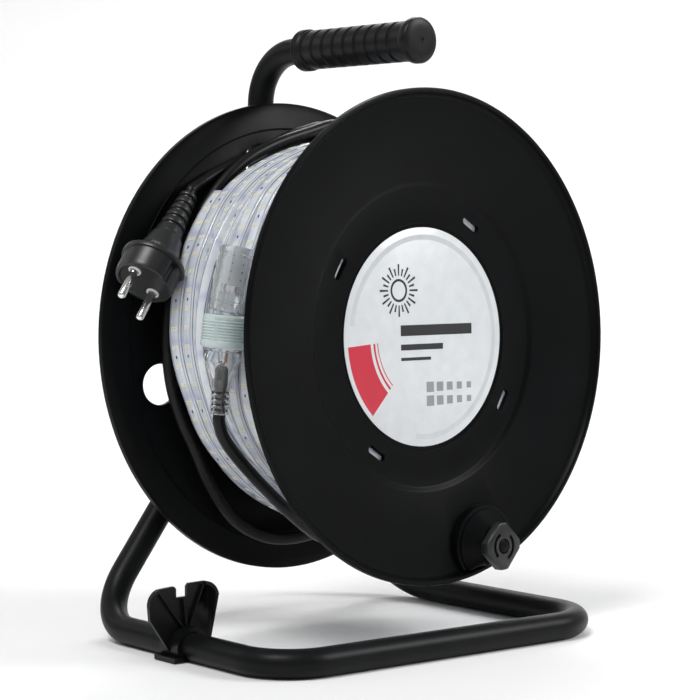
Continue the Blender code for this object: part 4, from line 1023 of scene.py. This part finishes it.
# the clear body, and in it the strip's end, a contact block, two small wires and a row of dark solder dots
def makeBody(s, onBody, length):
    body = [*steps(0.0, s.bodyR, (0, -22), (0, -6), (6, 0), (40, 0), (44, -6), (54, -6), (58, 0)),
            *steps(length, s.bodyR, (-60, 0), (-56, -5), (-44, -5), (-40, 0), (-10, 0), (0, -10), (0, -22), (-12, -26)),
            (0.0010, s.bodyR - 0.0026)]
    settle(makePiece("connectorBody", turnedShape(body, 56), clearBody, onBody), "drum", "clear_pvc", "connector_body")
    for name, y, z, low, high, finish in (("stripEnd", 0.0058, 0.0030, length * 0.42, length - 0.0006, innerWhite),
                                          ("contactBlock", 0.0050, 0.0042, 0.0010, length * 0.30, clearTail)):
        block = prismShape(boxOutline(0.0, 0.0, 2 * y, 2 * z), low, high)
        settle(makePiece(name, block, finish, onBody), "drum", "clear_pvc")
    for name, sign in (("bodyWireA", -1), ("bodyWireB", 1)):
        route = [Vector((length * 0.29, sign * 0.0030, 0.0)), Vector((length * 0.36, sign * 0.0042, 0.0010)),
                 Vector((length * 0.44, sign * 0.0040, 0.0))]
        settle(makePiece(name, sweptShape(smoothRoute(route, 6), 0.0006, 10), copperCore, onBody), "drum", "clear_pvc")
    dots = [onBody @ aboutX(turn) @ moved(length * share, 0, s.dotsOut)
            for turn in s.dotTurns for share in s.dotShares]
    settle(growBlocks("bodyDots", dots, s.dotSize, (0, 0, 0), chipBlack), "drum", "clear_pvc")


def makeConnector(sizes):
    s = SimpleNamespace(**sizes)
    tailEnd, nutLow, nutTop, top = (Vector(p) for p in (s.tailEnd, s.nutLow, s.nutTop, s.top))
    # each joint leans, so the tail and the body stop short of the nut
    tailWay, nutWay, bodyWay = nutLow - tailEnd, nutTop - nutLow, top - nutTop
    makeTail(s, onAxle @ alongLine(tailEnd, nutLow), tailWay.length - s.gap - s.tailR * sin(tailWay.angle(nutWay)))
    makeNut(s, onAxle @ alongLine(nutLow, nutTop), nutWay.length)
    start = nutTop + bodyWay.normalized() * (s.gap + s.bodyR * sin(bodyWay.angle(nutWay)))
    makeBody(s, onAxle @ alongLine(start, top), (top - start).length)


makeConnector(connectorSizes)
print("connector made")


# Label: a round glued sheet with a plain pattern of its own
labelSizes = {
    "r": 0.0631, "backX": 0.0550, "thick": 0.0004, "proud": 0.00004, "sunk": 0.00002,
    # inner and outer radius, first and last degrees, steps
    "band": ((0.0560, 0.0590, 20, 172, 72), (0.0560, 0.0590, 262, 380, 72)),
    "fan": ((0.0430, 0.0604, 184, 226, 40),),
    "fanLines": ((0.0395, 0.0408, 184, 226, 40), (0.0372, 0.0378, 184, 226, 40)),
    "rays": 24, "raysIn": 0.0085, "raysOut": (0.0150, 0.0126), "raysPlace": (-0.0200, 0.0270),
    "rayHalf": (0.00045, 0.00065), "raysRing": (0.0052, 0.0066, 0, 359.9, 60),
    # y, z, length and height
    "bars": ((0.0100, 0.0040, 0.0580, 0.0062), (-0.0020, -0.0056, 0.0340, 0.0034), (-0.0070, -0.0124, 0.0240, 0.0018)),
    # the squares: columns and rows, the first one's middle, and how much smaller each column's are
    "squares": (5, 2), "firstSquare": (0.0040, -0.0290), "squarePitch": 0.0080, "squareHalf": 0.0030,
    "squareLess": 0.0003,
}


def makeLabel(sizes):
    s = SimpleNamespace(**sizes)
    front = s.backX + s.thick
    sheet = [(s.backX, 0.0), (s.backX, s.r), *steps(front, s.r, (-1, 0), (0, -2)), (front, 0.0)]
    settle(makePiece("label", turnedShape(sheet, 128), labelWhite, onAxle), "drum", "label_film", "label")
    middle = Vector(s.raysPlace)
    rays = []
    for n in range(s.rays):
        angle = 2 * pi * n / s.rays
        way, side = Vector((cos(angle), sin(angle))), Vector((-sin(angle), cos(angle)))
        near, far = middle + way * s.raysIn, middle + way * s.raysOut[n % 2]
        narrow, broad = (side * half for half in s.rayHalf)
        rays.append([near - narrow, far - broad, far + broad, near + narrow])
    squares = []
    for n in range(s.squares[0]):
        for m in range(s.squares[1]):
            y, z = s.firstSquare[0] + n * s.squarePitch, s.firstSquare[1] - m * s.squarePitch
            side = 2 * (s.squareHalf - s.squareLess * n)
            squares.append(boxOutline(y, z, side, side))
    # a pale band round the rim, a red fan low on the left, a lamp sign of rays, ruled bars and small squares
    for name, outlines, finish, lift in (
            ("labelBand", [arcBand((0, 0), *row) for row in s.band], labelPale, 1.0),
            ("labelFan", [arcBand((0, 0), *row) for row in s.fan], labelRed, 1.4),
            ("labelFanLines", [arcBand((0, 0), *row) for row in s.fanLines], labelRed, 1.4),
            ("labelRays", rays, labelInk, 1.2),
            ("labelRaysRing", [arcBand(s.raysPlace, *s.raysRing)], labelInk, 1.2),
            ("labelBars", [boxOutline(*row) for row in s.bars], labelInk, 1.2),
            ("labelSquares", squares, labelGrey, 1.2)):
        shapes = [prismShape(outline, front - s.sunk, front + s.proud * lift) for outline in outlines]
        settle(makePiece(name, addShapes(shapes), finish, onAxle), "drum", "label_film")


makeLabel(labelSizes)
print("label made")


# Clip: a thin fan with three ribs and a notch, snapped over the foot tube
clipSizes = {
    "x": -0.0020, "plateThick": 0.0024, "clampLength": 0.0180, "clampR": 0.0108, "hug": 0.0083,
    "fan": ([(-0.0085, -0.0060), (-0.0235, 0.0160)], ((-0.0150, 0.0240), 0.0092, 185, 108),
            [(-0.0075, 0.0335), (-0.0062, 0.0322), (-0.0062, 0.0272), (0.0012, 0.0272), (0.0012, 0.0330),
             (0.0025, 0.0345)],
            ((0.0128, 0.0250), 0.0098, 88, 0), [(0.0165, -0.0020), (0.0090, -0.0060)]),
    "ribs": ((-0.0180, 0.0300), (-0.0026, 0.0266), (0.0110, 0.0335)), "ribRoot": (0.0, 0.0070), "ribHalf": 0.0006,
    "ribProud": 0.0022, "bandProud": 0.0007,
    # the thicker bands along the fan's top
    "bands": (((-0.0150, 0.0240), 0.0072, 0.0092, 178, 108, 14), ((0.0128, 0.0250), 0.0078, 0.0098, 86, 6, 14)),
    "gap": 0.0003, "tipShare": 0.6, "lipLeft": -0.0135, "lipRight": -0.0040, "lipTop": -0.0050, "lipLonger": 0.0010,
    "mouth": ((-0.0030, -0.02), (0.0300, -0.02), (0.0300, -0.0015), (0.0065, -0.0045), (0.0, -0.0060)),
}


def makeClip(sizes):
    s = SimpleNamespace(**sizes)
    rear, front = Vector((*standSizes["rearLeft"], 0)), Vector((*standSizes["frontLeft"], 0))
    run = front - rear
    at = rear + Vector((0, 0, standSizes["footZ"])) + run * (s.x - rear.x) / run.x
    place = standing @ alongLine(at, at + run, (0, 1, 0))
    first, arcA, middle, arcB, last = s.fan
    fan = first + arcPoints(*arcA, 14) + middle + arcPoints(*arcB, 14) + last
    half, long, under = s.plateThick / 2, s.clampLength / 2, standSizes["footZ"] - s.gap
    clip = makePiece("footClip", prismShape(fan, -half, half), clipPlastic, place)
    dip = degrees(asin(under / s.clampR))
    lip = [(s.lipLeft, -under), (s.lipLeft, s.lipTop), (s.lipRight, s.lipTop), (s.lipRight, -under)]
    shapes = [("clamp", arcPoints((0, 0), s.clampR, -dip, 180 + dip, 44), -long, long),
              ("lip", lip, -long - s.lipLonger, long + s.lipLonger)]
    for rib in s.ribs:
        root, tip = Vector(s.ribRoot), Vector(rib)
        way = (tip - root).normalized()
        across = Vector((-way.y, way.x)) * s.ribHalf
        outline = [root - across, root + across, tip + across * s.tipShare, tip - across * s.tipShare]
        shapes.append(("rib", outline, 0.0, half + s.ribProud))
    shapes += [("band", arcBand(*row), 0.0, half + s.bandProud) for row in s.bands]
    joins = [makePiece(name, prismShape(outline, low, high), clipPlastic, place) for name, outline, low, high in shapes]
    cutters = [makePiece("tubeWay", turnedShape(bandProfile(-0.03, 0.03, s.hug), 56), clipPlastic, place),
               makePiece("mouth", prismShape(s.mouth, -0.03, 0.03), clipPlastic, place)]
    settle(carve(clip, cutters, joins), "stand", "clip_plastic", "foot_clip")


makeClip(clipSizes)
print("clip made")


# Stage, lights and what the render is given
stageSizes = {
    "width": 8.0, "front": -3.0, "back": 2.6, "bend": 0.8, "height": 5.0, "under": 0.0002,
    "floor": (0.90, 0.90, 0.90, 1), "world": (1.0, 1.0, 1.0, 1), "worldStrength": 0.27,
    # place, aim, size and watts of each soft light
    "lights": (
        ((0.4, -1.4, 2.3), (0.0, 0.0, 0.17), 1.0, 42.0),
        ((1.9, 1.7, 1.7), (0.0, 0.0, 0.18), 1.1, 46.0),
        ((-1.6, -1.0, 1.2), (0.0, 0.0, 0.16), 0.7, 2.0),
        ((-1.9, 2.0, 2.4), (-1.9, 1.9, 0.3), 1.6, 84.0),
    ),
}


def makeStage(sizes):
    s = SimpleNamespace(**sizes)
    turn = radians(cameraSettings["turnDegrees"])
    ahead, right = Vector((-cos(turn), sin(turn), 0)), Vector((sin(turn), cos(turn), 0))
    angles = [pi / 2 * n / 8 for n in range(9)]
    profile = [(s.front, 0.0), *((s.back - s.bend + s.bend * sin(a), s.bend * (1 - cos(a))) for a in angles),
               (s.back, s.height)]
    data = bpy.data.meshes.new("paleFloor")
    data.from_pydata([ahead * along + right * s.width * sign + Vector((0, 0, up - s.under))
                      for along, up in profile for sign in (-0.5, 0.5)], [],
                     [[2 * n, 2 * n + 1, 2 * n + 3, 2 * n + 2] for n in range(len(profile) - 1)])
    data.materials.append(startFinish("paleFloor", {
        "Base Color": s.floor, "Roughness": 0.7, "Specular IOR Level": 0.2})[0])
    data.shade_smooth()
    staged = [placeObject("paleFloor", data)]
    for n, (place, aim, size, watts) in enumerate(s.lights):
        lamp = bpy.data.lights.new(f"softLight{n}", "AREA")
        lamp.energy, lamp.size = watts, size
        facing = (Vector(aim) - Vector(place)).to_track_quat("-Z", "Y").to_matrix().to_4x4()
        placeObject(f"softLight{n}", lamp).matrix_world = Matrix.Translation(place) @ facing
    world = bpy.data.worlds.new("paleWorld")
    world.use_nodes = True
    background = world.node_tree.nodes["Background"].inputs
    background["Color"].default_value, background["Strength"].default_value = s.world, s.worldStrength
    scene.world = world
    scene.view_settings.view_transform = "Standard"


makeStage(stageSizes)
print("stage and lights made")
